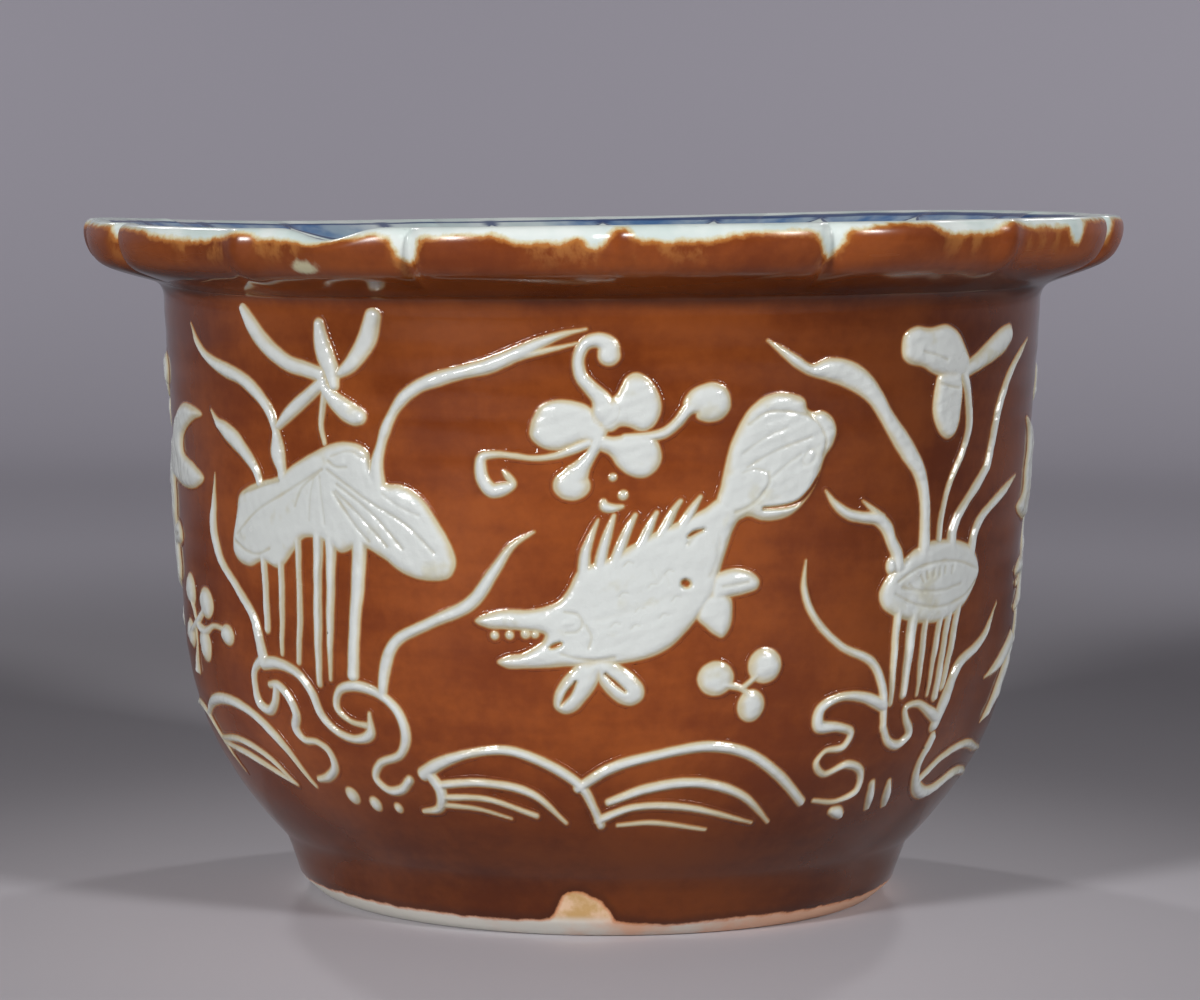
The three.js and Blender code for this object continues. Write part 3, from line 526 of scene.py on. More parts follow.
def relief(shapes, scratches=(), holes=()):
    """Edge distance, slip thickness and scratch mask at flat points, for all of a motif's shapes."""
    def field(u, v):
        edge, top = np.full(u.shape, far_off), np.full(u.shape, far_off)
        for shape in shapes:
            its_edge, its_top = shape(u, v)
            edge = np.maximum(edge, its_edge)
            top = thicker(top, its_top)
        for gap in holes:
            its_edge = gap(u, v)[0]
            edge = np.minimum(edge, -its_edge)
            top = np.where(-its_edge < 1.2, np.minimum(top, soft_top(-its_edge, 1.2, 1.3)), top)
        marks = np.zeros(u.shape)
        for line in scratches:
            close = (u > line.low[0]) & (u < line.high[0]) & (v > line.low[1]) & (v < line.high[1])
            marks[close] = np.maximum(marks[close], line(u[close], v[close]))
        uneven = 0.1 * ripple(u, v, 9.0, 3) + 0.05 * ripple(u, v, 3.4, 5)
        top = top + np.where(edge > 0, uneven * np.clip(edge / 1.5, 0, 1), 0) - marks * np.clip(edge / 0.4, 0, 1)
        return edge, top, marks

    return field


def cut_sheet(shapes, scratches=(), holes=()):
    """The grid's cells that touch the motif, with their outer corners drawn in to its edge."""
    low = np.min([s.low for s in shapes], axis=0) - grid_step * 3
    high = np.max([s.high for s in shapes], axis=0) + grid_step * 3
    us, vs = np.arange(low[0], high[0], grid_step), np.arange(low[1], high[1], grid_step)
    u, v = (a.ravel() for a in np.meshgrid(us, vs))
    field = relief(shapes, scratches, holes)
    edge = field(u, v)[0]
    kept = edge.reshape(len(vs), len(us)) > sheet_edge
    cells = kept[:-1, :-1] | kept[1:, :-1] | kept[:-1, 1:] | kept[1:, 1:]
    r, c = np.nonzero(cells)
    first = r * len(us) + c
    quads = np.stack([first, first + 1, first + len(us) + 1, first + len(us)], axis=1)
    used, quads = np.unique(quads, return_inverse=True)
    quads = quads.reshape(-1, 4)
    slope_v, slope_u = np.gradient(edge.reshape(len(vs), len(us)), grid_step)
    slope_u, slope_v = slope_u.ravel()[used], slope_v.ravel()[used]
    u, v, edge = u[used], v[used], edge[used]
    steep = np.maximum(slope_u**2 + slope_v**2, 0.25)
    draw = np.where(edge < sheet_edge, np.minimum(sheet_edge - edge, 0.9 * grid_step), 0) / steep
    u, v = u + draw * slope_u, v + draw * slope_v
    edge, top, marks = field(u, v)
    return u, v, quads, edge, top, marks


# %% [markdown]
# Colour follows thickness. Thick slip is bluish white, thin slip lets the body's warmth through,
# and at its very edge it fades through amber into the brown, so each point carries how well the
# slip covers, how deep it is and whether it was scratched.

# %% From the drawing to the pot
def on_wall(u, v, height_above, turn=0.0, lift=0.0):
    """Wraps flat points round the wall and moves them out along its slope."""
    degrees = np.degrees(u / drawn_radius) + turn
    share = (v + lift - drawn_low) / (drawn_high - drawn_low)
    z = foot_height + (neck_height - foot_height) * share
    probe = 0.5
    slope = (wall_radius(z + probe) - wall_radius(z - probe)) / (2 * probe)
    scale = 1 / np.hypot(1, slope)
    radius = wall_radius(z) + wall_waviness(degrees, z) + height_above * scale
    return around(degrees, radius, z - height_above * slope * scale)


def lay(name, sheet, node, turn=0.0, lift=0.0):
    """One motif as a closed solid: a top that follows the slip and a root below the glaze."""
    u, v, quads, edge, top, marks = sheet
    count = len(u)
    points = np.vstack([on_wall(u, v, top, turn, lift), on_wall(u, v, np.full(count, -root_depth), turn, lift)])
    sides = np.concatenate([quads[:, [k, (k + 1) % 4]] for k in range(4)])
    key, back = sides[:, 0] * count + sides[:, 1], sides[:, 1] * count + sides[:, 0]
    rim = sides[~np.isin(key, back)]
    skirt = np.stack([rim[:, 1], rim[:, 0], rim[:, 0] + count, rim[:, 1] + count], axis=1)
    faces = np.vstack([quads, quads[:, ::-1] + count, skirt])
    cover = smoothstep(edge, -0.9, 0.6)
    values = {
        "slip_cover": np.concatenate([cover, cover * 0]),
        "slip_depth": np.concatenate([top, top * 0]),
        "slip_scratch": np.concatenate([marks, marks * 0]),
    }
    piece = make_mesh(name, points, faces, values)
    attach(piece, "root")
    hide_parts(node)
    slip_pieces.append(piece)
    return piece


slip_pieces = []

# %% [markdown]
# The left clump is a lotus leaf folded over on itself, on six stems, with blades of weed that
# spring from its edge. Its veins fan out from where the stems meet it.

# %% Lotus leaf clump
leaf_clump = [
    pool(
        (-55.2, 91.5), (-55.1, 95), (-54.3, 98.4), (-53.6, 102.4), (-52.9, 105.4), (-50.6, 107.8), (-47.4, 109.6),
        (-44.6, 110.8), (-41.6, 113.9), (-38, 117.2), (-35, 119.4), (-32, 119.9), (-29.8, 118.3), (-28.8, 113.4),
        (-27.2, 110.7), (-24.8, 110.2), (-22.4, 107.6), (-20.4, 102.8), (-18.6, 97.2), (-17.9, 92.6), (-18.8, 89.2),
        (-21.8, 88.4), (-25, 89.8), (-28, 93.3), (-31.2, 95.6), (-34.2, 93.8), (-36.5, 96), (-40, 96.8),
        (-42.2, 93.4), (-45, 88.9), (-48.4, 90), (-51.4, 88.4), (-54, 89.4),
    ),
    trail((-48.2, 92, 2.4), (-48.2, 82, 2.2), (-48.3, 73.5, 2.2)),
    trail((-44.7, 92, 2.2), (-45, 80, 2), (-45.5, 68, 1.4)),
    trail((-41.4, 96, 2.2), (-41.5, 88, 1.8), (-41.6, 78, 2), (-42.3, 66.5, 1.6)),
    trail((-37.8, 98, 3.4), (-38.2, 87, 2.6), (-38.4, 78, 2.7), (-38.8, 61.8, 1.7)),
    trail((-35.8, 98, 3.6), (-36, 87, 2.6), (-36.3, 78, 2.4), (-36.8, 63.2, 1)),
    trail((-31.3, 97, 4.2), (-31.7, 87, 3.8), (-32.4, 77, 3.2), (-33, 64.8, 3.4)),
    trail(
        (-64.2, 145.8, 0.4), (-62.4, 142.3, 1.6), (-59.8, 138.9, 2.3), (-57, 136.8, 3.1), (-54.2, 135.4, 3.6),
        (-51.3, 134, 3.3), (-48.8, 131.8, 3.6), (-46.8, 129, 3.2), (-45.2, 125.4, 3), (-44.5, 121.5, 2.6),
        (-44.4, 116.6, 4.9), (-43.8, 112.6, 3.2), (-43.8, 109, 3),
    ),
    trail(
        (-59, 125.5, 0.6), (-57.4, 122.9, 2.1), (-55.4, 121, 4.1), (-53.2, 119, 4.7), (-51.5, 116.7, 3.8),
        (-50, 114.4, 3.4), (-48.8, 111.8, 2.8), (-48.1, 108.5, 2.4),
    ),
    trail(
        (-28.4, 109.5, 4.4), (-28.4, 115, 3.4), (-27.8, 119.2, 2.5), (-27, 123.3, 2.7), (-26, 127, 2.4),
        (-24.5, 130.6, 2.9), (-22.4, 133.4, 3), (-20.2, 135, 3.4), (-16.9, 136.7, 3.1), (-13.6, 138.2, 3.4),
        (-10.2, 140.9, 3.2), (-7, 143.7, 2.4), (-4.2, 145.6, 1.2), (-1.8, 146.6, 0.4),
    ),
    trail((-12, 139, 2), (-9, 140.7, 1.5), (-6, 142, 1.1), (-2.6, 143.5, 0.4)),
]
leaf_veins = [
    scratch((-35.6, 113.4), (-29.8, 106.8), (-24.2, 101.2), (-20.6, 95)),
    scratch((-34.2, 110), (-29.4, 104.2), (-24.8, 95.6)),
    scratch((-34.4, 108.4), (-30.6, 102.6), (-27, 96)),
    scratch((-34.8, 108.2), (-32, 101.6), (-29.6, 97)),
    scratch((-27.6, 108.4), (-25.2, 105.6), (-22.6, 103.6), depth=0.2),
    scratch((-36.4, 113.4), (-42.8, 107.4), (-49.2, 101.6), (-53.4, 96)),
    scratch((-37, 112.6), (-39.8, 108.8), (-41.2, 104.2)),
    scratch((-36.9, 111.6), (-36.6, 105.6), (-36.3, 100.4), depth=0.2),
    scratch((-37.8, 111.8), (-38.6, 105.6), (-38.9, 101), depth=0.2),
    scratch((-51.4, 106.4), (-47.4, 108.4), (-44, 110)),
    scratch((-35.4, 115.4), (-34.2, 114.2), (-32.6, 114.2)),
    scratch((-35, 116.6), (-32, 118), (-30.2, 116.4), depth=0.2),
    scratch((-54, 94.2), (-51.6, 92.4), (-49, 91.8), (-46.4, 93.4)),
]
leaf_sheet = cut_sheet(leaf_clump, leaf_veins)
lay("left_leaf_clump_slip", leaf_sheet, "left_lotus_leaf_clump")
lay("rear_leaf_clump_slip", leaf_sheet, "rear_lotus_leaf_clump", turn=184)
print("leaf clump cells:", len(leaf_sheet[2]))

# %% Blossom over the leaf
leaf_blossom = [
    trail(
        (-50, 150.2, 2.6), (-48.2, 146.4, 4.3), (-46.2, 143, 4.4), (-43.8, 140, 4.2), (-41.4, 137.8, 3.9),
        (-39, 136.8, 3.7), (-36.4, 135.6, 3.4),
    ),
    trail((-36.4, 147.3, 2.8), (-36.1, 143.6, 4.2), (-35.5, 140, 5), (-34.7, 136.4, 4.4), (-34.3, 133.2, 2.8)),
    trail((-28.4, 149.2, 4.2), (-29.2, 144.6, 4.9), (-30.4, 141, 4.4), (-31.8, 138, 3.6), (-33.4, 136, 2.2)),
    trail((-36, 133.8, 3), (-38.5, 130.5, 3.2), (-40.4, 128.1, 3.5), (-42.3, 125.6, 3.2), (-44, 122.9, 2)),
    trail((-36, 133, 2.8), (-34.6, 130, 4), (-33, 127.8, 5), (-31.6, 126.4, 4.9), (-30.7, 126, 3.8)),
    trail((-35.9, 131, 1.8), (-36.4, 126.8, 1.7), (-36.6, 123.4, 1.5), (-36.2, 119.4, 1.2)),
]
blossom_sheet = cut_sheet(leaf_blossom)
lay("left_blossom_slip", blossom_sheet, "left_lotus_blossom")
lay("rear_blossom_slip", blossom_sheet, "rear_lotus_blossom", turn=184)

# %% Root scrolls under the leaf
leaf_roots = [
    trail(
        (-59.1, 110, 0.4), (-59.6, 104.5, 1.6), (-60.4, 99, 3), (-60.5, 95, 3.4), (-59.6, 90.4, 3.1), (-58, 87, 2.6),
        (-54.8, 82.2, 2.5), (-51.2, 75.5, 3), (-49.6, 66, 4),
    ),
    trail(
        (-49.8, 66, 3), (-51.8, 63, 2.2), (-52.3, 58, 2.4), (-51.5, 54.3, 3),
        (-49.7, 53.3, 2.5), (-48.3, 55.2, 2.5), (-47.4, 59.3, 2.4),
    ),
    trail(
        (-48.8, 59.8, 1.6), (-47, 60, 2.3), (-45.2, 57.6, 2.5), (-44.1, 53.4, 2.7),
        (-44.9, 50, 2.9), (-43.7, 47.2, 1.9), (-41.2, 47, 1.6), (-39.3, 45, 2.1),
        (-39.1, 41.2, 2.4), (-41, 38.3, 2.2), (-43.3, 37.2, 1.5),
    ),
    trail(
        (-49.6, 65, 3.4), (-46.3, 65.4, 2.8), (-42.6, 63.5, 2.4), (-40.5, 59.5, 2.5),
        (-39.2, 54, 2.4), (-37, 50.4, 2.1), (-34, 49, 2), (-31.4, 50.7, 2.6), (-31, 55.8, 0.9),
    ),
    trail(
        (-31.2, 52.6, 1.6), (-34.4, 53.5, 1.3), (-36.3, 56.6, 2), (-35.5, 60.7, 2.1),
        (-32.6, 62.2, 2.6), (-28.9, 60.5, 2.4), (-26.5, 56.5, 2.6), (-25.9, 51, 2.8),
        (-27.2, 46.3, 2.1), (-30.9, 43.3, 1.9), (-32.2, 39.6, 2.1), (-30.7, 36.8, 2.2),
        (-28.4, 37.2, 2.3), (-26.6, 40, 2.2),
    ),
    trail(
        (-28.7, 60.3, 2.4), (-27.8, 68.5, 3.2), (-26.3, 73.6, 2.8), (-21.5, 78.4, 2.6),
        (-16, 83.5, 3.2), (-13, 91, 2.6), (-10.7, 97, 1.5), (-8, 100.3, 0.4),
    ),
]
leaf_roots_sheet = cut_sheet(leaf_roots)
lay("left_roots_slip", leaf_roots_sheet, "left_root_scrolls")
lay("rear_leaf_roots_slip", leaf_roots_sheet, "rear_leaf_root_scrolls", turn=184)

# %% [markdown]
# The right clump stands on a lotus pod cut through, drawn as a lens with a row of seeds.

# %% Seed-pod clump
pod_clump = [
    pool(
        (38.2, 84), (38.7, 81), (40.4, 78.8), (43.5, 76.9), (47.7, 75.7), (51.5, 76.2), (55.2, 78.4), (57.6, 81.8),
        (58.8, 85.4), (58.5, 89), (57, 92), (54.2, 94), (50.4, 95.1), (47, 95), (44, 93.4), (41.6, 90.6), (39.5, 87.8),
    ),
    trail((41.7, 80, 2.6), (41.4, 68, 2.2), (41.7, 57.5, 1.6)),
    trail((44.7, 79, 4), (44.1, 68, 3), (43.9, 59.3, 2.3)),
    trail((47.2, 78, 2), (46.8, 68, 2.1), (46.8, 58.8, 1)),
    trail((50.4, 78, 2.2), (49.5, 68, 1.9), (49.1, 58.4, 1)),
    trail((52.3, 79, 2.2), (51.4, 68, 2.2), (50.9, 57.6, 2.4)),
    trail((54.4, 80, 2.4), (53.2, 68, 2.2), (52.2, 59.6, 1.7)),
    trail(
        (20.1, 143.6, 0.4), (22, 141.2, 1.6), (23.9, 138.7, 2.4), (26, 136.6, 2.4), (28.6, 136.6, 5.2),
        (31.2, 135.4, 6), (33.7, 133, 5.5), (35.8, 129.5, 4.3), (37.5, 125.5, 3.9), (39.6, 121, 4.6),
        (41.8, 116.6, 4.8), (43.5, 113, 4.2), (44.8, 108.5, 3.7), (45.5, 103, 3.6), (45.8, 97, 3.9), (45.8, 92, 4.2),
    ),
    trail(
        (29, 108.6, 0.4), (30.5, 105.4, 1.8), (32.5, 103, 2.4), (34.8, 102, 2.5), (37.2, 101.4, 3),
        (38.9, 99, 3.5), (39.7, 96, 3.2), (40.8, 93, 3.6), (41.2, 90, 4.4),
    ),
    drop(39.9, 90.2, 1.6, 2),
    trail((34.7, 105.8, 0.4), (36.1, 104, 1.2), (38, 101.6, 2)),
    trail(
        (51.8, 91, 4), (51.5, 96, 3.7), (52.5, 100, 3.1), (54.7, 104, 2.6), (57.1, 107.5, 2.9), (59, 111, 2.8),
        (60.1, 116, 2.6), (60.7, 121, 2.7), (61.6, 126, 2.7), (63, 130.5, 2.5), (65.2, 134.5, 2.2),
        (68, 138, 1.6), (71.4, 141, 0.4),
    ),
    trail(
        (56.4, 91, 3.6), (56.9, 95.5, 3), (58.3, 98.6, 2.7), (60.6, 101, 2.4), (63.9, 103.5, 2.6),
        (67.2, 105.8, 1.8), (70.6, 107.8, 0.4),
    ),
]
pod_marks = [
    scratch((41, 86.4), (44, 89), (47.4, 90.1), (50.6, 90.2), (53.8, 89.4), (57.6, 87.4)),
    scratch((40.6, 83.6), (44.4, 80.8), (48.8, 79.5), (53.2, 80.4), (56, 82.2), (57.8, 84.4)),
    scratch((41.8, 85), (45, 83.9), (49.8, 83.4), (53.8, 84.3)),
]
seed_marks = [(43.6, 84.9, 8), (45.4, 86.6, 5), (46.4, 87.3, 2), (47.6, 87.7, 0), (48.8, 87.9, -1), (50, 88, -1), (51.5, 87.9, -2)]
pod_marks += [scratch((d - s * 0.06, h + 0.75), (d + s * 0.06, h - 0.75), depth=0.3) for d, h, s in seed_marks]
pod_sheet = cut_sheet(pod_clump, pod_marks)
lay("right_pod_clump_slip", pod_sheet, "right_seed_pod_clump")
lay("rear_pod_clump_slip", pod_sheet, "rear_seed_pod_clump", turn=184)

# %% Blossom over the pod
pod_blossom = [
    pool(
        (39.5, 141), (39.8, 144), (41.5, 145.7), (44, 145.3), (47.5, 145.8), (50, 143.6), (51.6, 140.4), (52.8, 137),
        (53, 134.2), (51, 133.2), (47.5, 133.7), (45.2, 134.8), (43.4, 136.3), (41, 137.2), (39.8, 138.6),
    ),
    pool(
        (46, 131.5), (45.8, 127), (46.3, 123.5), (47.4, 120.6), (49, 119.1), (50.5, 119.9), (51.4, 122.6),
        (51.7, 127), (51.6, 131), (51, 134.5), (48.5, 135.4), (46.6, 134.4),
    ),
    trail(
        (52, 134.8, 3.6), (55.2, 137, 4.6), (58.4, 139.4, 5.8), (61.2, 141.4, 6.2), (63, 142.6, 5),
    ),
    trail(
        (51.9, 134, 3.2), (52.9, 129.6, 2.5), (53.6, 125, 2.6), (53.7, 121, 2.4), (52.8, 116, 2.1),
        (50.9, 110.6, 2), (49.7, 106, 1.8), (49, 101, 1.9), (48.7, 95.2, 2),
    ),
]
petal_marks = [
    scratch((43, 140), (45.4, 139), (47.5, 137.8)),
    scratch((47, 132.2), (48.8, 131.4), (50.3, 131)),
]
pod_blossom_sheet = cut_sheet(pod_blossom, petal_marks)
lay("right_blossom_slip", pod_blossom_sheet, "right_lotus_blossom")
lay("rear_pod_blossom_slip", pod_blossom_sheet, "rear_pod_blossom", turn=184)

# %% Root scrolls under the pod
pod_roots = [
    trail(
        (26.6, 92.7, 0.4), (26.5, 86, 1.6), (28.3, 79, 1.8), (32.5, 72.2, 1.8),
        (37.6, 67.8, 2.2), (39.8, 61.5, 2.6), (41.2, 51.5, 2),
    ),
    trail(
        (40.4, 57.2, 3.2), (36.5, 59.8, 2.5), (32.8, 60.2, 2), (30, 57.6, 2.8), (30, 53.8, 3.2),
        (33.2, 53, 2.2), (35.5, 51.3, 2), (34.8, 48, 1.9), (31.8, 47.2, 1.2), (30.8, 44.4, 1.7),
        (32.6, 41.5, 1.5), (36.2, 43.4, 2), (39.2, 41.2, 2), (39.8, 36.4, 2.1),
        (36.5, 34, 1.3), (32.3, 34.8, 1),
    ),
    trail(
        (41, 52.2, 2), (42.9, 48, 2.1), (45.2, 46.9, 2.4), (46.8, 49.4, 2.4), (45.3, 53.4, 2),
        (44.9, 55.8, 1.6), (47.3, 56.5, 1.7), (50, 54.3, 2.6), (52.4, 52.2, 3.6),
    ),
    trail(
        (52.3, 50.4, 3.6), (53.6, 56.3, 4.3), (55.6, 64, 3.1), (60, 67.6, 2.6),
        (63, 70.7, 2.1), (66.5, 77.5, 0.4),
    ),
]
pod_roots_sheet = cut_sheet(pod_roots)
lay("right_roots_slip", pod_roots_sheet, "right_root_scrolls")
lay("rear_pod_roots_slip", pod_roots_sheet, "rear_pod_root_scrolls", turn=184)

# %% [markdown]
# The fish rises between the clumps: long jaws with teeth, six spines, two pairs of fins and a
# fan tail. Its gills and scales are scratched, and one bubble burst and shows the brown.

# %% Fish
fish_body = [
    pool(
        (-15.5, 79.4), (-13.5, 81.4), (-11.3, 82.2), (-8.8, 82.2), (-6.6, 83), (-4.9, 84.4), (-3.7, 87.4), (-2.6, 91.4),
        (-1.2, 92.8), (1, 94.2), (3.8, 97.2), (7, 100.4), (9.9, 102.8), (12.8, 105.4), (14.8, 107.6), (17.8, 104.4),
        (16.8, 101.6), (15.9, 97), (15, 91), (14.2, 85), (12.4, 80.6), (11, 77.4), (9, 73.8), (6.6, 71.6), (4, 70.4),
        (0, 69.7), (-4, 69.3), (-8.4, 68.7), (-11.6, 68.7), (-12.7, 69.9), (-11.4, 71.4), (-9.6, 72), (-8, 73.6),
        (-6.9, 75.2), (-6.7, 76.6), (-9.1, 77.4), (-11.5, 77.7), (-14, 77.9),
        thickness=1.0,
    ),
    trail((-1.9, 90, 3.2), (-1.7, 95.5, 2.4), (-1, 99.5, 1.5), (-0.2, 103.2, 0.5)),
    trail((-0.1, 90.5, 3.2), (0.4, 96, 2.5), (1, 100, 2), (1.7, 104.1, 0.9)),
    trail((1.7, 92, 3.2), (2.6, 97, 2.5), (3.4, 100.8, 2), (4.3, 104.2, 1)),
    trail((4.6, 95, 3), (5.6, 99.2, 2.5), (6.2, 102, 1.9), (6.9, 104.7, 1)),
    trail((7.2, 98, 3), (8.2, 102, 2.4), (8.9, 104.8, 1.8), (9.8, 107.3, 1)),
    trail((10, 101, 3), (11, 104.4, 2.3), (12.3, 108.2, 0.9)),
    pool(
        (-2.2, 70.5), (-3.4, 68.4), (-4.6, 65.8), (-5.5, 62.4), (-5.5, 59.6), (-4.2, 58.1), (-2.8, 58.9), (-1.5, 61.6),
        (-0.4, 64.4), (0.4, 68), (0.4, 70.6),
    ),
    pool(
        (-0.6, 70.6), (0, 66), (1.2, 63), (2.6, 60.9), (4.2, 60.2), (5.6, 61.8), (5.7, 64.4), (4.5, 67.3),
        (2.8, 69.6), (1.4, 71),
    ),
    pool(
        (14, 89.6), (15.4, 91), (17.2, 91.5), (19, 90.7), (20.2, 88.6), (20, 86.8), (18.6, 85.8), (16.4, 85),
        (14, 84),
    ),
    pool(
        (12.2, 80.4), (13.3, 78.3), (14.5, 76.5), (15.6, 75.7), (16.5, 77.8), (16.8, 81.4), (16.6, 84.4), (15.4, 86),
        (13, 85.4),
    ),
    bead(-13, 76.1, 1),
    bead(-11.1, 76.3, 1),
    bead(-9.1, 76.7, 1.1),
    bead(-7.9, 76.6, 0.9),
    drop(-3.7, 79.5, 2.6, 2, -12, thickness=1.25),
]
fan_tail = [
    pool(
        (14.4, 106), (14.8, 110.6), (15.2, 114.7), (15.9, 120), (16.9, 124.4), (18.1, 127.9), (19.8, 130.5),
        (21.8, 131.5), (23.8, 131.1), (25.3, 129.8), (25.8, 127.6), (26.6, 126.9), (27.9, 127), (29.3, 125.5),
        (30, 122.6), (29.6, 119.4), (28.6, 116.6), (28, 113.4), (27.2, 109.4), (25.8, 106), (24.2, 103.6),
        (22.3, 102.5), (20.2, 102.5), (18.4, 103.5), (17, 102.8),
    ),
]
forked_tail = [
    pool(
        (14.6, 106.4), (17.4, 111.6), (20.4, 117.2), (25, 121.6), (29, 122.3), (33.8, 120.2), (30, 118.2),
        (25, 113.4), (25, 110), (29.4, 107.4), (33, 104.4), (30, 101.8), (24.6, 101), (19, 102.2), (16.8, 102.8),
    ),
]
scale_marks = [
    scratch((d - 0.55, h - 0.5), (d - 0.1, h + 0.55), (d + 0.6, h + 0.35), depth=0.22, width=0.3)
    for d, h in [(5, 82.5), (8, 81), (6.5, 88), (2, 79), (4.5, 78.5), (8.5, 91), (3.5, 93), (9.5, 85), (3, 86)]
]
fish_marks = scale_marks + [
    scratch((-4.2, 82), (-2.6, 81.4), (-2, 79.4), (-2.6, 77.6), (-4, 77.2)),
    scratch((-1.6, 79), (-0.9, 76.4), (-1.2, 73.6)),
    scratch((-4.6, 72.3), (-2.8, 71.4), (-0.6, 71), (2, 71.6)),
    scratch((-0.4, 80), (4, 82.4), (9, 86), depth=0.12, width=0.7),
    scratch((6.4, 91.6), (7.2, 89), (8, 90.8), (8.6, 88), depth=0.14),
    scratch((15.4, 87.6), (17, 88), (18.6, 88.4), width=0.55),
    scratch((10.8, 97.6), (11.6, 99.4), (12.8, 100.8), width=0.7),
    scratch((14.8, 99), (14.4, 94), (13.6, 90), depth=0.16, width=0.6),
]
tail_marks = [
    scratch((16.6, 104.6), (18.4, 106), (20, 108.4), (20.9, 111.4), (20.8, 113.6)),
    scratch((17.4, 113.6), (19, 114.4), (20.8, 113.6), depth=0.2),
    scratch((18, 124.6), (20.2, 127.2), (22.8, 127.4), (25.6, 126.4)),
    scratch((25.8, 126.6), (27.4, 124), (28.4, 120.4), (28.2, 117)),
    scratch((17.4, 118), (20, 121.4), (23, 123.6), depth=0.2),
    scratch((18, 114.8), (21.6, 118.4), (26.4, 121.4), depth=0.2),
    scratch((21, 112), (23, 115), (25, 117.4), depth=0.2),
    scratch((25.3, 116.2), (26.2, 118.4), (27, 118), (26.6, 115.6), (25.6, 115), (25.2, 116), depth=0.16),
]
tail_gap = trail((20.4, 105.2, 0.4), (23.4, 105.5, 0.7), (25.2, 106.4, 1), (26.6, 108.6, 1.1), (27.6, 111.4, 1), (28, 113.2, 0.4))
fish_holes = [
    hole(10.7, 88.4, 1.1, 0.85, 20),
    hole(-5.3, 74.1, 1.5, 0.45, -22),
    trail((-2.8, 65.7, 0.3), (-3.7, 63, 1.2), (-4.6, 60.4, 0.3)),
    trail((0.9, 67.6, 0.3), (2.2, 65.4, 0.8), (3.4, 63.6, 0.3)),
    trail((10.9, 99.2, 0.3), (11.6, 100, 0.7), (12.6, 100.6, 0.3)),
]
front_fish_sheet = cut_sheet(fish_body + fan_tail, fish_marks + tail_marks, fish_holes + [tail_gap])
side_fish_sheet = cut_sheet(fish_body + forked_tail, fish_marks)
lay("front_fish_slip", front_fish_sheet, "front_fish")
lay("rear_fish_slip", front_fish_sheet, "rear_fish", turn=184)
lay("left_fish_slip", side_fish_sheet, "left_fish", turn=-95, lift=4)
lay("right_fish_slip", side_fish_sheet, "right_fish", turn=91, lift=4)
print("fish cells:", len(front_fish_sheet[2]))

# %% Scroll flower and berries
scroll_flower = [
    trail(
        (0.9, 140.8, 5), (0.8, 142.8, 4.4), (-0.5, 144.1, 3.3), (-2, 143.1, 2.8), (-2.65, 140.5, 2.6), (-2.7, 138, 2.7),
        (-2.3, 135.6, 2.9), (-1.2, 133.2, 3.2), (-0.1, 131, 4), (0.5, 128.6, 5.4),
    ),
    drop(0.5, 127.9, 3, 3.2, thickness=1.2),
    pool(
        (-8.5, 122.5), (-8.2, 126), (-7.2, 129.2), (-5.6, 130.4), (-3.6, 130.4), (-1.8, 129.4), (-0.4, 127),
        (0.8, 123.6), (0, 120.6), (-2.2, 121.1), (-3.4, 120.2), (-4.8, 119.2), (-6.2, 119.2), (-7.6, 120.3),
    ),
    pool(
        (0.6, 129.6), (2, 132), (2.4, 133.6), (3.1, 135.8), (4.2, 136.6), (5.4, 135.6), (6.6, 132.8), (7.2, 129.5),
        (6.9, 126.2), (6, 124), (4.8, 123.4), (3.4, 124.4), (2.3, 124.5), (1.3, 123.4), (-0.2, 124),
    ),
    pool(
        (-0.4, 119.6), (1.1, 118), (2.2, 115.2), (3.6, 113.3), (5.2, 112.8), (6.6, 114.2), (7.35, 117), (7.1, 119.8),
        (6.2, 122.2), (3.8, 122.8), (1.6, 122.1), (-0.2, 122.4),
    ),
    trail((-0.3, 121.4, 3.4), (-1.1, 118.2, 2.5), (-2.2, 115.3, 3.7), (-3.1, 112.8, 6)),
    drop(-3.45, 111.1, 4.2, 3.5),
    trail((3, 121.6, 2.4), (5.6, 122.1, 2.1), (7.6, 122.9, 2.3), (9.2, 125.2, 2.3), (10.6, 128.4, 3), (12, 129.8, 5)),
    pool(
        (9.9, 129.2), (10.5, 131.9), (11.8, 133.5), (13.4, 134.2), (14.9, 133.2), (15.6, 130.8), (15.6, 128),
        (14.6, 125.9), (13, 125.3), (11.6, 126.2), (11.4, 127.6),
    ),
]
scroll_hook = [
    trail(
        (-1.4, 120.8, 2.2), (-3.4, 119.2, 2.1), (-5.4, 117.8, 1.5), (-8, 117.2, 1.2), (-10.4, 117.7, 1.3), (-12.6, 118, 1.5),
        (-14.4, 117.3, 2.2), (-14.6, 114.5, 2.8), (-14.2, 111.7, 3.1), (-13.2, 109.7, 3.3), (-11.8, 110.1, 3),
        (-10.6, 111.3, 1.7), (-11.2, 113, 1.6), (-11.7, 114.1, 0.8),
    ),
]
bulb_marks = [scratch((1.2, 131.4), (2.2, 128.8), (1.8, 126), (0.5, 124.7), (-0.8, 125.6), (-1.2, 127.8), depth=0.16, width=0.3)]
front_scroll_sheet = cut_sheet(scroll_flower + scroll_hook, bulb_marks)
side_scroll_sheet = cut_sheet(scroll_flower, bulb_marks)
lay("front_scroll_flower_slip", front_scroll_sheet, "front_scroll_flower")
lay("rear_scroll_flower_slip", front_scroll_sheet, "rear_scroll_flower", turn=184)
lay("left_scroll_flower_slip", side_scroll_sheet, "left_scroll_flower", turn=-95, lift=4)
lay("right_scroll_flower_slip", side_scroll_sheet, "right_scroll_flower", turn=95, lift=4)

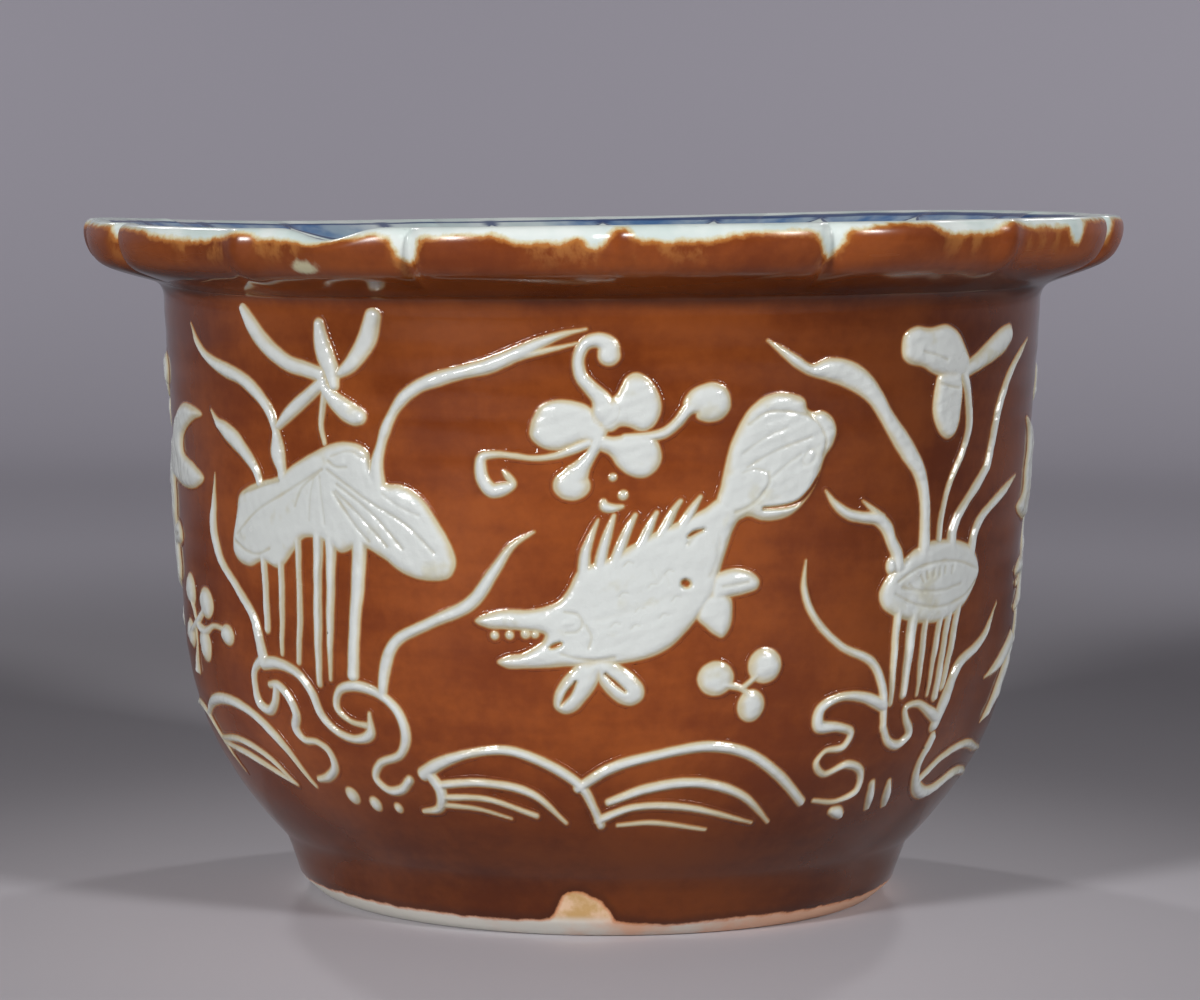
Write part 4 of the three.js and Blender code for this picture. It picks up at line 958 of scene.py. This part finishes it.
berries = [
    drop(14.9, 66.2, 4.4, 4),
    drop(21.4, 68.8, 4.2, 4.1),
    drop(19.8, 59.5, 3.4, 3.8),
    trail((16, 64.8, 2), (18.4, 63.6, 1.3), (19.7, 61.5, 2)),
    trail((18.4, 63.6, 1.3), (19.5, 65.1, 1.2), (20.6, 67, 1.8)),
]
berries_sheet = cut_sheet(berries)
lay("front_berries_slip", berries_sheet, "front_berries")
lay("rear_berries_slip", berries_sheet, "rear_berries", turn=184)

# %% [markdown]
# Waves run round the bowl under the pond: an arc, and finer arcs inside it.

# %% Waves
front_waves = [
    trail(
        (-24.2, 41.8, 3.4), (-21.8, 44.5, 3), (-17, 47.7, 2.1), (-11.5, 48.8, 2.3), (-5.5, 44.7, 2.5),
        (-2, 40, 2.4), (-0.6, 35.5, 2.1), (0.6, 30.6, 2.2),
    ),
    trail(
        (-2.6, 40, 2.4), (2, 45.2, 2.6), (8, 48.3, 2.4), (14.5, 50.1, 2.6), (20, 48.1, 2.5),
        (25, 42.5, 2.5), (30.2, 34.8, 2.2),
    ),
    trail((-23.3, 41.8, 3), (-22.1, 37.6, 3.3), (-23, 33.3, 2.2), (-25.8, 32, 1)),
    trail((-22.4, 39.3, 2), (-15.5, 40.5, 2), (-9, 38.3, 2), (-4.4, 31, 0.9)),
    trail((-22, 36.2, 1.6), (-15.5, 36.4, 1.4), (-8.6, 32.6, 1.3)),
    trail((-22.6, 34.2, 1.4), (-17, 33.7, 1), (-12.3, 31.6, 0.5)),
    trail((0.2, 31.8, 2.2), (5, 35.1, 1.8), (12, 35.1, 1.8), (23, 30.3, 0.6)),
]
wave_middle = [trail((1.6, 36.5, 1.9), (7, 40, 2.5), (13.5, 41.2, 2.4), (20, 37.9, 2), (25.7, 30.2, 0.8))]
wave_inner = [trail((3, 30.5, 0.9), (8, 31.1, 1.2), (16, 29, 0.8))]
left_wave = [
    trail((-85, 47.3, 1.8), (-78.5, 48.6, 2), (-73.3, 46.9, 1.8), (-69.8, 41.2, 1.5), (-66, 34, 0.5)),
    trail(
        (-73.6, 46.9, 1.6), (-68.5, 51.4, 2.6), (-61.5, 53.4, 2.8), (-54.8, 51.7, 2.6),
        (-49.5, 46.2, 2.6), (-44.7, 35.2, 1.2),
    ),
    trail((-70.2, 41.7, 1.4), (-60.5, 43.2, 1.9), (-53.5, 40.2, 1.8), (-49.3, 34.6, 1)),
    trail((-69.6, 40.8, 1.3), (-60, 39.7, 2), (-53.5, 37, 1.7), (-49.6, 34.9, 1.4)),
]
right_wave = [
    trail(
        (52.9, 47.4, 2.6), (51.9, 41, 2.4), (53.4, 35.7, 3), (58.5, 32, 3.3), (66, 35.2, 2.8),
        (74, 34, 1.8), (80, 31.6, 0.8),
    ),
    trail((53.6, 35.8, 2.2), (58, 40.9, 2.2), (65, 42.9, 2.2), (74, 40, 1.8), (83, 37.8, 0.8)),
]
for name, shapes, node, rear_name, rear_node in [
    ("front_waves_slip", front_waves, "front_waves", "rear_waves_slip", "rear_waves"),
    ("front_middle_arc_slip", wave_middle, "front_wave_middle_arc", "rear_middle_arc_slip", "rear_wave_middle_arc"),
    ("left_wave_slip", left_wave, "left_wave", "rear_leaf_wave_slip", "rear_leaf_wave"),
    ("right_wave_slip", right_wave, "right_wave", "rear_pod_wave_slip", "rear_pod_wave"),
]:
    sheet = cut_sheet(shapes)
    lay(name, sheet, node)
    lay(rear_name, sheet, rear_node, turn=184)
lay("front_inner_arc_slip", cut_sheet(wave_inner), "front_wave_inner_arc")

# %% Sprigs, leaves and weed at the sides
round_sprig = [
    drop(-72, 79, 4.6, 4.2),
    drop(-65, 76.9, 4.8, 3.9),
    drop(-74, 67.6, 4.4, 3.7),
    drop(-66.6, 66.2, 4.3, 4.4),
    drop(-58.4, 70.2, 3.4, 2.6),
    trail((-65.6, 75.5, 2), (-69, 71.6, 2.4), (-73.4, 68, 2.4)),
    trail((-69.6, 71, 2.2), (-66, 69.6, 2.4), (-62.5, 71.6, 1.2), (-58.8, 71.2, 1.6)),
    trail((-70.4, 70.8, 1.6), (-70.8, 64.5, 1.3), (-72.6, 58.6, 2.8)),
    trail((-69.6, 71.4, 1.6), (-72, 77, 2)),
]
side_leaf = [
    pool(
        (73, 99.7), (76.5, 96.8), (81, 95.8), (85.5, 99), (87.3, 107), (84.5, 116), (79, 119.8),
        (74, 121.5), (77, 116.5), (76.9, 108), (76.7, 103),
    ),
]
side_weed = [
    trail((65.4, 59.4, 0.5), (70.5, 61.8, 3.6), (78, 66.2, 5)),
    trail((69.4, 47.4, 0.5), (73, 53.4, 5.6), (77.6, 64.8, 4.6)),
]
sprig_sheet = cut_sheet(round_sprig)
lay("left_sprig_slip", sprig_sheet, "left_round_sprig")
lay("rear_sprig_slip", sprig_sheet, "rear_round_sprig", turn=184)
lay("right_leaf_slip", cut_sheet(side_leaf), "right_side_leaf")
lay("right_weed_slip", cut_sheet(side_weed), "right_side_weed")

# %% Drops and dashes between the motifs
drops = [(1.5, 112.9, 0.9), (2.8, 108.8, 1.15), (-37.7, 34.1, 2.2), (-33.9, 32.6, 1.9), (-30, 32.2, 1.3)]
dashes = [
    ((0.4, 107.3, 1.4), (0.6, 106.2, 2.3), (1.5, 105.8, 2), (2.7, 106.2, 0.9)),
    ((36.5, 31.6, 2), (37.8, 31, 3), (38.8, 30, 2)),
    ((42.5, 37.6, 2), (43.2, 34.5, 2.6), (44, 31.2, 1.8)),
    ((46.2, 37.4, 1.4), (47, 34.2, 2.8), (47.9, 31.2, 1.8)),
]
for i, place in enumerate(drops, start=1):
    lay(f"drop_{i}_slip", cut_sheet([bead(*place)]), f"slip_drop_{i}")
for i, points in enumerate(dashes, start=1):
    lay(f"dash_{i}_slip", cut_sheet([trail(*points)]), f"slip_dash_{i}")
print("slip triangles:", sum(2 * len(piece.data.polygons) for piece in slip_pieces))

# %% [markdown]
# Materials are built from nodes. A small helper places a node, sets its options and joins or
# fills its inputs, so that each finish below reads as a recipe.

# %% Helpers for nodes
def colour(red, green, blue):
    """An sRGB colour as it is seen, 0 to 255, as the linear colour that shaders use."""
    s = np.array([red, green, blue]) / 255
    linear = np.where(s <= 0.04045, s / 12.92, ((s + 0.055) / 1.055) ** 2.4)
    return (*linear.tolist(), 1.0)


def put(tree, kind, inputs=None, **options):
    """Adds a node; each input is a value, or a socket to link from."""
    made = tree.nodes.new(kind)
    for key, value in options.items():
        setattr(made, key, value)
    for key, value in (inputs or {}).items():
        if isinstance(value, bpy.types.NodeSocket):
            tree.links.new(value, made.inputs[key])
        else:
            made.inputs[key].default_value = value
    return made


def calc(tree, operation, a, b=0.0, c=0.0):
    """A Math node's result."""
    return put(tree, "ShaderNodeMath", {0: a, 1: b, 2: c}, operation=operation).outputs[0]


def ramp(tree, value, low, high, to_low=0.0, to_high=1.0):
    """An S-shaped rise from one value to another between two marks, held at both ends."""
    inputs = {"Value": value, "From Min": low, "From Max": high, "To Min": to_low, "To Max": to_high}
    return put(tree, "ShaderNodeMapRange", inputs, interpolation_type="SMOOTHSTEP").outputs[0]


def mixed(tree, share, a, b, blend_type="MIX"):
    """Colour a, going over to colour b by a share."""
    made = put(tree, "ShaderNodeMix", data_type="RGBA", blend_type=blend_type)
    for index, value in ((0, share), (6, a), (7, b)):
        if isinstance(value, bpy.types.NodeSocket):
            tree.links.new(value, made.inputs[index])
        else:
            made.inputs[index].default_value = value
    return made.outputs[2]


def noise(tree, place, size, detail=3.0, roughness=0.5):
    """Fractal noise whose features are about size metres across, around 0.5."""
    inputs = {"Vector": place, "Scale": 1 / size, "Detail": detail, "Roughness": roughness}
    return put(tree, "ShaderNodeTexNoise", inputs).outputs["Fac"]


def named(tree, name):
    """An attribute of the mesh's points."""
    return put(tree, "ShaderNodeAttribute", attribute_name=name).outputs["Fac"]


def new_group(name, inputs, outputs):
    """An empty node group with named sockets, and its two end nodes."""
    group = bpy.data.node_groups.new(name, "ShaderNodeTree")
    for socket, kind, value in inputs:
        made = group.interface.new_socket(socket, in_out="INPUT", socket_type=kind)
        if value is not None:
            made.default_value = value
    for socket, kind in outputs:
        group.interface.new_socket(socket, in_out="OUTPUT", socket_type=kind)
    return group, group.nodes.new("NodeGroupInput").outputs, group.nodes.new("NodeGroupOutput").inputs


def new_material(name):
    """A material with a bare Principled shader."""
    material = bpy.data.materials.new(name)
    material.use_nodes = True
    tree = material.node_tree
    return material, tree, tree.nodes["Principled BSDF"]


# %% [markdown]
# The brown is a thin iron glaze. It is cloudy on the scale of a thumb, faintly streaked where it
# was brushed round, and sprinkled with iron specks and pinholes. Painted shade darkens it at the
# bottom of the bowl, where the glaze also ran thicker, on the neck under the flange, towards both
# sides and at the left of the lip. The pot wears it all over, and the slip fades into it at its
# edges, so it is a group that both materials use.

# %% The iron glaze group
iron_glaze, given, result = new_group(
    "iron glaze",
    [
        ("Place", "NodeSocketVector", None),
        ("Light brown", "NodeSocketColor", colour(154, 78, 29)),
        ("Dark brown", "NodeSocketColor", colour(118, 52, 15)),
    ],
    [("Color", "NodeSocketColor"), ("Roughness", "NodeSocketFloat"), ("Height", "NodeSocketFloat"), ("Speck", "NodeSocketFloat")],
)
place = given["Place"]
clouds = noise(iron_glaze, place, 0.030, 3.0, 0.5)
flecks = noise(iron_glaze, place, 0.0030, 4.0, 0.6)
brushed = put(iron_glaze, "ShaderNodeMapping", {"Vector": place, "Scale": (1.0, 1.0, 7.0)}).outputs[0]
streaks = noise(iron_glaze, brushed, 0.036, 3.0, 0.55)
tone = calc(iron_glaze, "MULTIPLY_ADD", clouds, 0.6, calc(iron_glaze, "MULTIPLY", flecks, 0.2))
tone = calc(iron_glaze, "MULTIPLY_ADD", streaks, 0.2, tone)
brown = mixed(iron_glaze, ramp(iron_glaze, tone, 0.34, 0.66), given["Dark brown"], given["Light brown"])
parted = put(iron_glaze, "ShaderNodeSeparateXYZ", {0: place}).outputs
height = parted["Z"]
# Painted shade: the brown darkens towards the bottom of the bowl, which faces down away from the lamps and where the
# glaze also ran thicker, and on the neck as the painted shadow of the flange.
bowl_pooling_and_shade, flange_shadow = ramp(iron_glaze, height, 0.018, 0.052, 0.48, 1.0), ramp(iron_glaze, height, 0.105, 0.152, 0.92, 0.68)
# Painted shade: the brown darkens towards the left and right sides of the pot, where the light falls off.
left_side_shade, right_side_shade = ramp(iron_glaze, parted["X"], -0.116, -0.080, 0.54, 1.0), ramp(iron_glaze, parted["X"], 0.005, 0.105, 1.0, 0.53)
painted_shade = calc(iron_glaze, "MULTIPLY", bowl_pooling_and_shade, flange_shadow)
painted_shade = calc(iron_glaze, "MULTIPLY", painted_shade, calc(iron_glaze, "MULTIPLY", left_side_shade, right_side_shade))
# Painted shadow just under the flange.
painted_shade = calc(iron_glaze, "MULTIPLY", painted_shade, ramp(iron_glaze, height, 0.149, 0.1525, 1.0, 0.74))
# Painted shade on the lip, darker towards its left.
lip_left_shade = ramp(iron_glaze, parted["X"], -0.085, -0.030, 0.68, 0.87)
painted_shade = ramp(iron_glaze, height, 0.1545, 0.1595, painted_shade, lip_left_shade)
# The painted shade takes the brown towards black.
brown = mixed(iron_glaze, painted_shade, colour(0, 0, 0), brown)
speck_map = put(iron_glaze, "ShaderNodeTexVoronoi", {"Vector": place, "Scale": 110.0})
speck_size = put(iron_glaze, "ShaderNodeTexWhiteNoise", {"Vector": speck_map.outputs["Position"]}).outputs["Value"]
speck_reach = ramp(iron_glaze, speck_size, 0.84, 1.0, 0.0, 0.05)
speck = calc(iron_glaze, "LESS_THAN", speck_map.outputs["Distance"], speck_reach)
brown = mixed(iron_glaze, calc(iron_glaze, "MULTIPLY", speck, 0.85), brown, colour(40, 24, 14))
orange_peel = noise(iron_glaze, place, 0.006, 2.0, 0.5)
peel_height = calc(iron_glaze, "MULTIPLY_ADD", clouds, 0.5, calc(iron_glaze, "MULTIPLY", orange_peel, 0.3))
iron_glaze.links.new(brown, result["Color"])
iron_glaze.links.new(speck, result["Speck"])
iron_glaze.links.new(ramp(iron_glaze, streaks, 0.3, 0.8, 0.07, 0.16), result["Roughness"])
iron_glaze.links.new(calc(iron_glaze, "SUBTRACT", peel_height, calc(iron_glaze, "MULTIPLY", speck, 0.5)), result["Height"])

# %% [markdown]
# On the pot the brown stops at the wiped lip and at the bare foot. The edge isn't sharp: where
# the glaze runs thin it turns ochre before the white shows, and it is thin in the hollows of the
# lip too. The white glaze itself has a blue tinge where it lies thick.

# %% Brown, ochre and white at the lip
pot_material, tree, shader = new_material("coffee glaze")
place = put(tree, "ShaderNodeTexCoord").outputs["Object"]
across = put(tree, "ShaderNodeSeparateXYZ", {0: place}).outputs
glaze = put(tree, "ShaderNodeGroup", node_tree=iron_glaze)
tree.links.new(place, glaze.inputs["Place"])

below_wipe, lip_hollow = named(tree, "below_wipe"), named(tree, "lip_hollow")
ragged = calc(tree, "MULTIPLY_ADD", noise(tree, place, 0.003, 4.0, 0.6), 2.4, -1.2)
wipe = calc(tree, "ADD", below_wipe, ragged)
white_cloud = ramp(tree, noise(tree, place, 0.012, 3.0), 0.3, 0.7)
white_glaze = mixed(tree, white_cloud, colour(222, 228, 224), colour(198, 212, 208))
upper = mixed(tree, ramp(tree, wipe, -1.0, 0.1), white_glaze, colour(206, 192, 150))
upper = mixed(tree, ramp(tree, wipe, -0.2, 0.6), upper, colour(176, 112, 52))
streaky = noise(tree, put(tree, "ShaderNodeMapping", {"Vector": place, "Scale": (1.0, 1.0, 0.6)}).outputs[0], 0.0045, 4.0, 0.6)
thin_patch = calc(tree, "MULTIPLY", ramp(tree, wipe, 8.0, 1.0), ramp(tree, lip_hollow, 0.4, 1.0))
thin_patch = calc(tree, "MULTIPLY", thin_patch, ramp(tree, streaky, 0.44, 0.64, 0.0, 0.6))
lip_brown = mixed(tree, thin_patch, glaze.outputs["Color"], colour(176, 116, 58))
pale_patch = calc(tree, "ADD", named(tree, "pale_patch"), calc(tree, "MULTIPLY_ADD", streaky, 1.2, -0.6))
lip_brown = mixed(tree, ramp(tree, pale_patch, 0.35, 0.8, 0.0, 0.9), lip_brown, colour(188, 184, 152))
upper = mixed(tree, ramp(tree, wipe, 0.4, 1.5), upper, lip_brown)

# %% [markdown]
# A cobalt border runs round the top of the flange under the clear glaze: a line, a watery wash
# that pools dark in places, and pointed lappets. Its strokes are distances from curves, in
# millimetres of run inwards from the crest, so their width stays that of a brush.

# %% The cobalt border
turn = calc(tree, "ARCTAN2", across["X"], calc(tree, "MULTIPLY", across["Y"], -1.0))
inward = calc(tree, "MULTIPLY", named(tree, "lip_run"), -1.0)
hand = calc(tree, "MULTIPLY_ADD", noise(tree, place, 0.02, 2.0), 2.4, -1.2)
inward = calc(tree, "ADD", inward, hand)
lappet = calc(tree, "ABSOLUTE", calc(tree, "SINE", calc(tree, "MULTIPLY", turn, 12.0)))
lappet_edge = calc(tree, "MULTIPLY_ADD", calc(tree, "POWER", lappet, 0.7), 8.0, 5.5)
lappet_line = calc(tree, "ABSOLUTE", calc(tree, "SUBTRACT", inward, lappet_edge))
outer_line = calc(tree, "ABSOLUTE", calc(tree, "SUBTRACT", inward, 4.0))
outer_line = calc(tree, "SUBTRACT", outer_line, ramp(tree, across["X"], -0.02, 0.04, 0.0, 0.7))
inner_line = calc(tree, "ABSOLUTE", calc(tree, "SUBTRACT", inward, 17.5))
stroke = calc(tree, "MINIMUM", lappet_line, calc(tree, "MINIMUM", outer_line, inner_line))
stroke = ramp(tree, stroke, 0.3, 0.9, 1.0, 0.0)
knot = calc(tree, "MULTIPLY", ramp(tree, lappet, 0.35, 0.05), ramp(tree, inward, 2.2, 3.4))
knot = calc(tree, "MULTIPLY", knot, ramp(tree, inward, 7.5, 6.0))
wash = calc(tree, "MULTIPLY", ramp(tree, inward, 3.0, 4.2), ramp(tree, calc(tree, "SUBTRACT", lappet_edge, inward), 0.0, 1.0))
faded_turn, faded_half = math.radians(-160), math.radians(15)
off_faded = calc(tree, "ABSOLUTE", calc(tree, "SUBTRACT", turn, faded_turn))
wash = calc(tree, "MULTIPLY", wash, ramp(tree, off_faded, faded_half * 0.7, faded_half * 1.2, 0.25, 1.0))
pooling = ramp(tree, noise(tree, place, 0.009, 3.0), 0.3, 0.7, 0.55, 1.0)
painted = mixed(tree, calc(tree, "MULTIPLY", wash, pooling), upper, colour(72, 112, 160))
painted = mixed(tree, calc(tree, "MULTIPLY", calc(tree, "MAXIMUM", stroke, knot), 0.85), painted, colour(28, 52, 104))

# %% [markdown]
# The foot's bevel was wiped clean and blushed in the fire, pinker towards one side, and one patch
# above it was left bare. Just above the bare edge the glaze gathered in a darker roll.

# %% The bare foot
bare = calc(tree, "ADD", named(tree, "above_bare"), calc(tree, "MULTIPLY_ADD", noise(tree, place, 0.005, 4.0, 0.6), 2.0, -1.0))
blush = calc(tree, "MULTIPLY_ADD", across["X"], 5.0, noise(tree, place, 0.02, 4.0, 0.6))
biscuit = mixed(tree, ramp(tree, blush, 0.4, 0.75), colour(214, 212, 202), colour(222, 178, 148))
scorched = noise(tree, place, 0.007, 4.0, 0.6)
patch_colour = mixed(tree, ramp(tree, scorched, 0.4, 0.62), colour(196, 158, 104), colour(222, 188, 156))
biscuit = mixed(tree, ramp(tree, across["Z"], 0.0040, 0.0062), biscuit, patch_colour)
biscuit = mixed(tree, ramp(tree, bare, -0.9, 0.0, 0.0, 0.8), biscuit, colour(196, 122, 74))
roll = ramp(tree, bare, 0.4, 2.6, 0.5, 0.0)
whole = mixed(tree, roll, painted, colour(58, 26, 12))
whole = mixed(tree, ramp(tree, bare, -0.2, 0.35), biscuit, whole)
tree.links.new(whole, shader.inputs["Base Color"])
rough = calc(tree, "ADD", glaze.outputs["Roughness"], ramp(tree, bare, -0.6, 0.3, 0.4, 0.0))
rough = calc(tree, "ADD", rough, ramp(tree, across["Z"], 0.155, 0.160, 0.0, 0.14))
tree.links.new(rough, shader.inputs["Roughness"])
bump = put(tree, "ShaderNodeBump", {"Strength": 0.3, "Distance": 0.0004, "Height": glaze.outputs["Height"]})
tree.links.new(bump.outputs[0], shader.inputs["Normal"])
shader.inputs["IOR"].default_value = 1.42
pot.data.materials.append(pot_material)
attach(pot, "root")
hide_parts("pot_body")

# %% [markdown]
# The slip is white china clay under the clear glaze. Where it is thick it looks faintly blue,
# where it is thin the body warms it to cream, and its very edge goes through amber to brown. Slip
# that ran out in a thin tip is amber too. Scratches hold a little more glaze and look grey.

# %% The slip's material
slip_material, tree, shader = new_material("white slip")
place = put(tree, "ShaderNodeTexCoord").outputs["Object"]
glaze = put(tree, "ShaderNodeGroup", node_tree=iron_glaze)
tree.links.new(place, glaze.inputs["Place"])
cover, depth, scratched = named(tree, "slip_cover"), named(tree, "slip_depth"), named(tree, "slip_scratch")
patchy = calc(tree, "MULTIPLY_ADD", noise(tree, place, 0.007, 4.0, 0.6), 0.6, -0.3)
thick = ramp(tree, calc(tree, "ADD", depth, patchy), 0.27, 0.96)
milk = mixed(tree, thick, colour(195, 184, 153), colour(206, 210, 207))
clear_patch = ramp(tree, noise(tree, place, 0.012, 3.0, 0.6), 0.56, 0.7, 0.0, 0.45)
milk = mixed(tree, clear_patch, milk, colour(186, 180, 146))
milk = mixed(tree, ramp(tree, scratched, 0.04, 0.3, 0.0, 0.36), milk, colour(172, 168, 146))
ragged_cover = calc(tree, "ADD", cover, calc(tree, "MULTIPLY_ADD", noise(tree, place, 0.0025, 3.0), 0.24, -0.12))
thin_tip = ramp(tree, depth, 0.12, 0.34, 0.16, 0.0)
ragged_cover = calc(tree, "SUBTRACT", ragged_cover, thin_tip)
seen = mixed(tree, ramp(tree, ragged_cover, 0.06, 0.36), glaze.outputs["Color"], colour(158, 104, 50))
seen = mixed(tree, ramp(tree, ragged_cover, 0.26, 0.82), seen, milk)
few_specks = calc(tree, "MULTIPLY", glaze.outputs["Speck"], ramp(tree, noise(tree, place, 0.015, 2.0), 0.5, 0.56, 0.0, 0.8))
seen = mixed(tree, few_specks, seen, colour(62, 42, 30))
tree.links.new(seen, shader.inputs["Base Color"])
tree.links.new(ramp(tree, noise(tree, place, 0.01, 2.0), 0.3, 0.7, 0.12, 0.28), shader.inputs["Roughness"])
shader.inputs["IOR"].default_value = 1.5
fine = noise(tree, place, 0.0022, 3.0)
bump = put(tree, "ShaderNodeBump", {"Strength": 0.35, "Distance": 0.0005, "Height": fine})
tree.links.new(bump.outputs[0], shader.inputs["Normal"])
for piece in slip_pieces:
    piece.data.materials.append(slip_material)

# %% [markdown]
# The studio is a pale floor that sweeps up all round into a wall, as a paper backdrop does, so
# that no line shows where they meet. A square grid is pulled round into a disc, which has no
# pole in its middle. Far from the pot the paper also glows a little for the camera, as a lit
# backdrop would, while the floor under the pot keeps its shadow.

# %% Floor and backdrop in one sweep
flat_reach, sweep_radius, wall_top = 1500.0, 800.0, 2400.0
sweep_cells = 120


def sweep():
    """A square grid whose ring number is the run out along the floor, up a quarter circle and up the wall."""
    angle = np.linspace(0, np.pi / 2, 24)
    out = np.concatenate([[0], flat_reach + sweep_radius * np.sin(angle), [flat_reach + sweep_radius]])
    up = np.concatenate([[0], sweep_radius * (1 - np.cos(angle)), [wall_top]])
    run = np.concatenate([[0], np.cumsum(np.hypot(np.diff(out), np.diff(up)))])
    side = np.linspace(-1, 1, sweep_cells + 1)
    u, v = np.meshgrid(side, side)
    here = np.maximum(np.abs(u), np.abs(v)) * run[-1]
    stretch = np.interp(here, run, out) / np.maximum(np.hypot(u, v), 1e-9)
    points = np.stack([u * stretch, v * stretch, np.interp(here, run, up)], axis=-1)
    return points.reshape(-1, 3), grid_faces(sweep_cells + 1, sweep_cells + 1, close_columns=False)


floor = make_mesh("studio_sweep", *sweep())
floor_material, tree, shader = new_material("pale paper")
shader.inputs["Base Color"].default_value = colour(193, 189, 195)
shader.inputs["Roughness"].default_value = 0.8
away = put(tree, "ShaderNodeVectorMath", {0: put(tree, "ShaderNodeTexCoord").outputs["Object"]}, operation="LENGTH")
ray = put(tree, "ShaderNodeLightPath").outputs
seen_by = calc(tree, "ADD", ray["Is Camera Ray"], calc(tree, "ADD", ray["Is Glossy Ray"], ray["Is Transmission Ray"]))
glow = mixed(tree, ramp(tree, away.outputs["Value"], 0.42, 0.95), colour(0, 0, 0), colour(91, 89, 95))
glow = mixed(tree, ramp(tree, away.outputs["Value"], 1.2, 2.2), glow, colour(131, 128, 137))
backdrop_glow = mixed(tree, calc(tree, "MINIMUM", seen_by, 1.0), colour(0, 0, 0), glow)
tree.links.new(backdrop_glow, shader.inputs["Emission Color"])
shader.inputs["Emission Strength"].default_value = 1.0
floor.data.materials.append(floor_material)

# %% [markdown]
# Two small soft boxes with grids light the pot from the front corners, which gives the pairs of
# small highlights on the slip and a shadow to each side. Two narrow spots from behind keep the
# back readable and leave the floor alone.

# %% World and lamps
world = bpy.data.worlds.new("studio")
bpy.context.scene.world = world
world.use_nodes = True
world.node_tree.nodes["Background"].inputs["Color"].default_value = colour(200, 200, 205)
world.node_tree.nodes["Background"].inputs["Strength"].default_value = 0.1
lamp_aim_height, lamp_distance = 0.09, 1.75
box_side, grid_angle = 0.26, math.radians(60)
spot_angle, spot_blend = math.radians(12), 0.5


def hang_lamp(name, kind, degrees, rise, watts, aim_x=0.0):
    """A lamp at degrees from the front towards +X and a rise above level, turned to its aim."""
    data = bpy.data.lights.new(name, kind)
    data.energy = watts
    lamp = bpy.data.objects.new(name, data)
    bpy.context.scene.collection.objects.link(lamp)
    angle, rise = math.radians(degrees), math.radians(rise)
    level = lamp_distance * math.cos(rise)
    place = np.array([level * math.sin(angle), -level * math.cos(angle), lamp_aim_height + lamp_distance * math.sin(rise)])
    from_to = np.array([aim_x, 0.0, lamp_aim_height]) - place
    heading = math.atan2(from_to[1], from_to[0])
    tilt = math.atan2(np.hypot(from_to[0], from_to[1]), -from_to[2])
    lamp.location = place
    lamp.rotation_euler = (tilt, 0.0, heading - math.pi / 2)
    lamp.visible_camera = False
    return lamp


for name, degrees, rise, watts, aim_x in [("left_box", -37, 17, 2.35, 0.12), ("right_box", 47, 21, 1.8, -0.12)]:
    box = hang_lamp(name, "AREA", degrees, rise, watts, aim_x).data
    box.shape, box.size, box.spread = "SQUARE", box_side, grid_angle
for name, degrees in [("rear_left_spot", -150), ("rear_right_spot", 150)]:
    spot = hang_lamp(name, "SPOT", degrees, 35, 20).data
    spot.spot_size, spot.spot_blend, spot.shadow_soft_size = spot_angle, spot_blend, 0.08
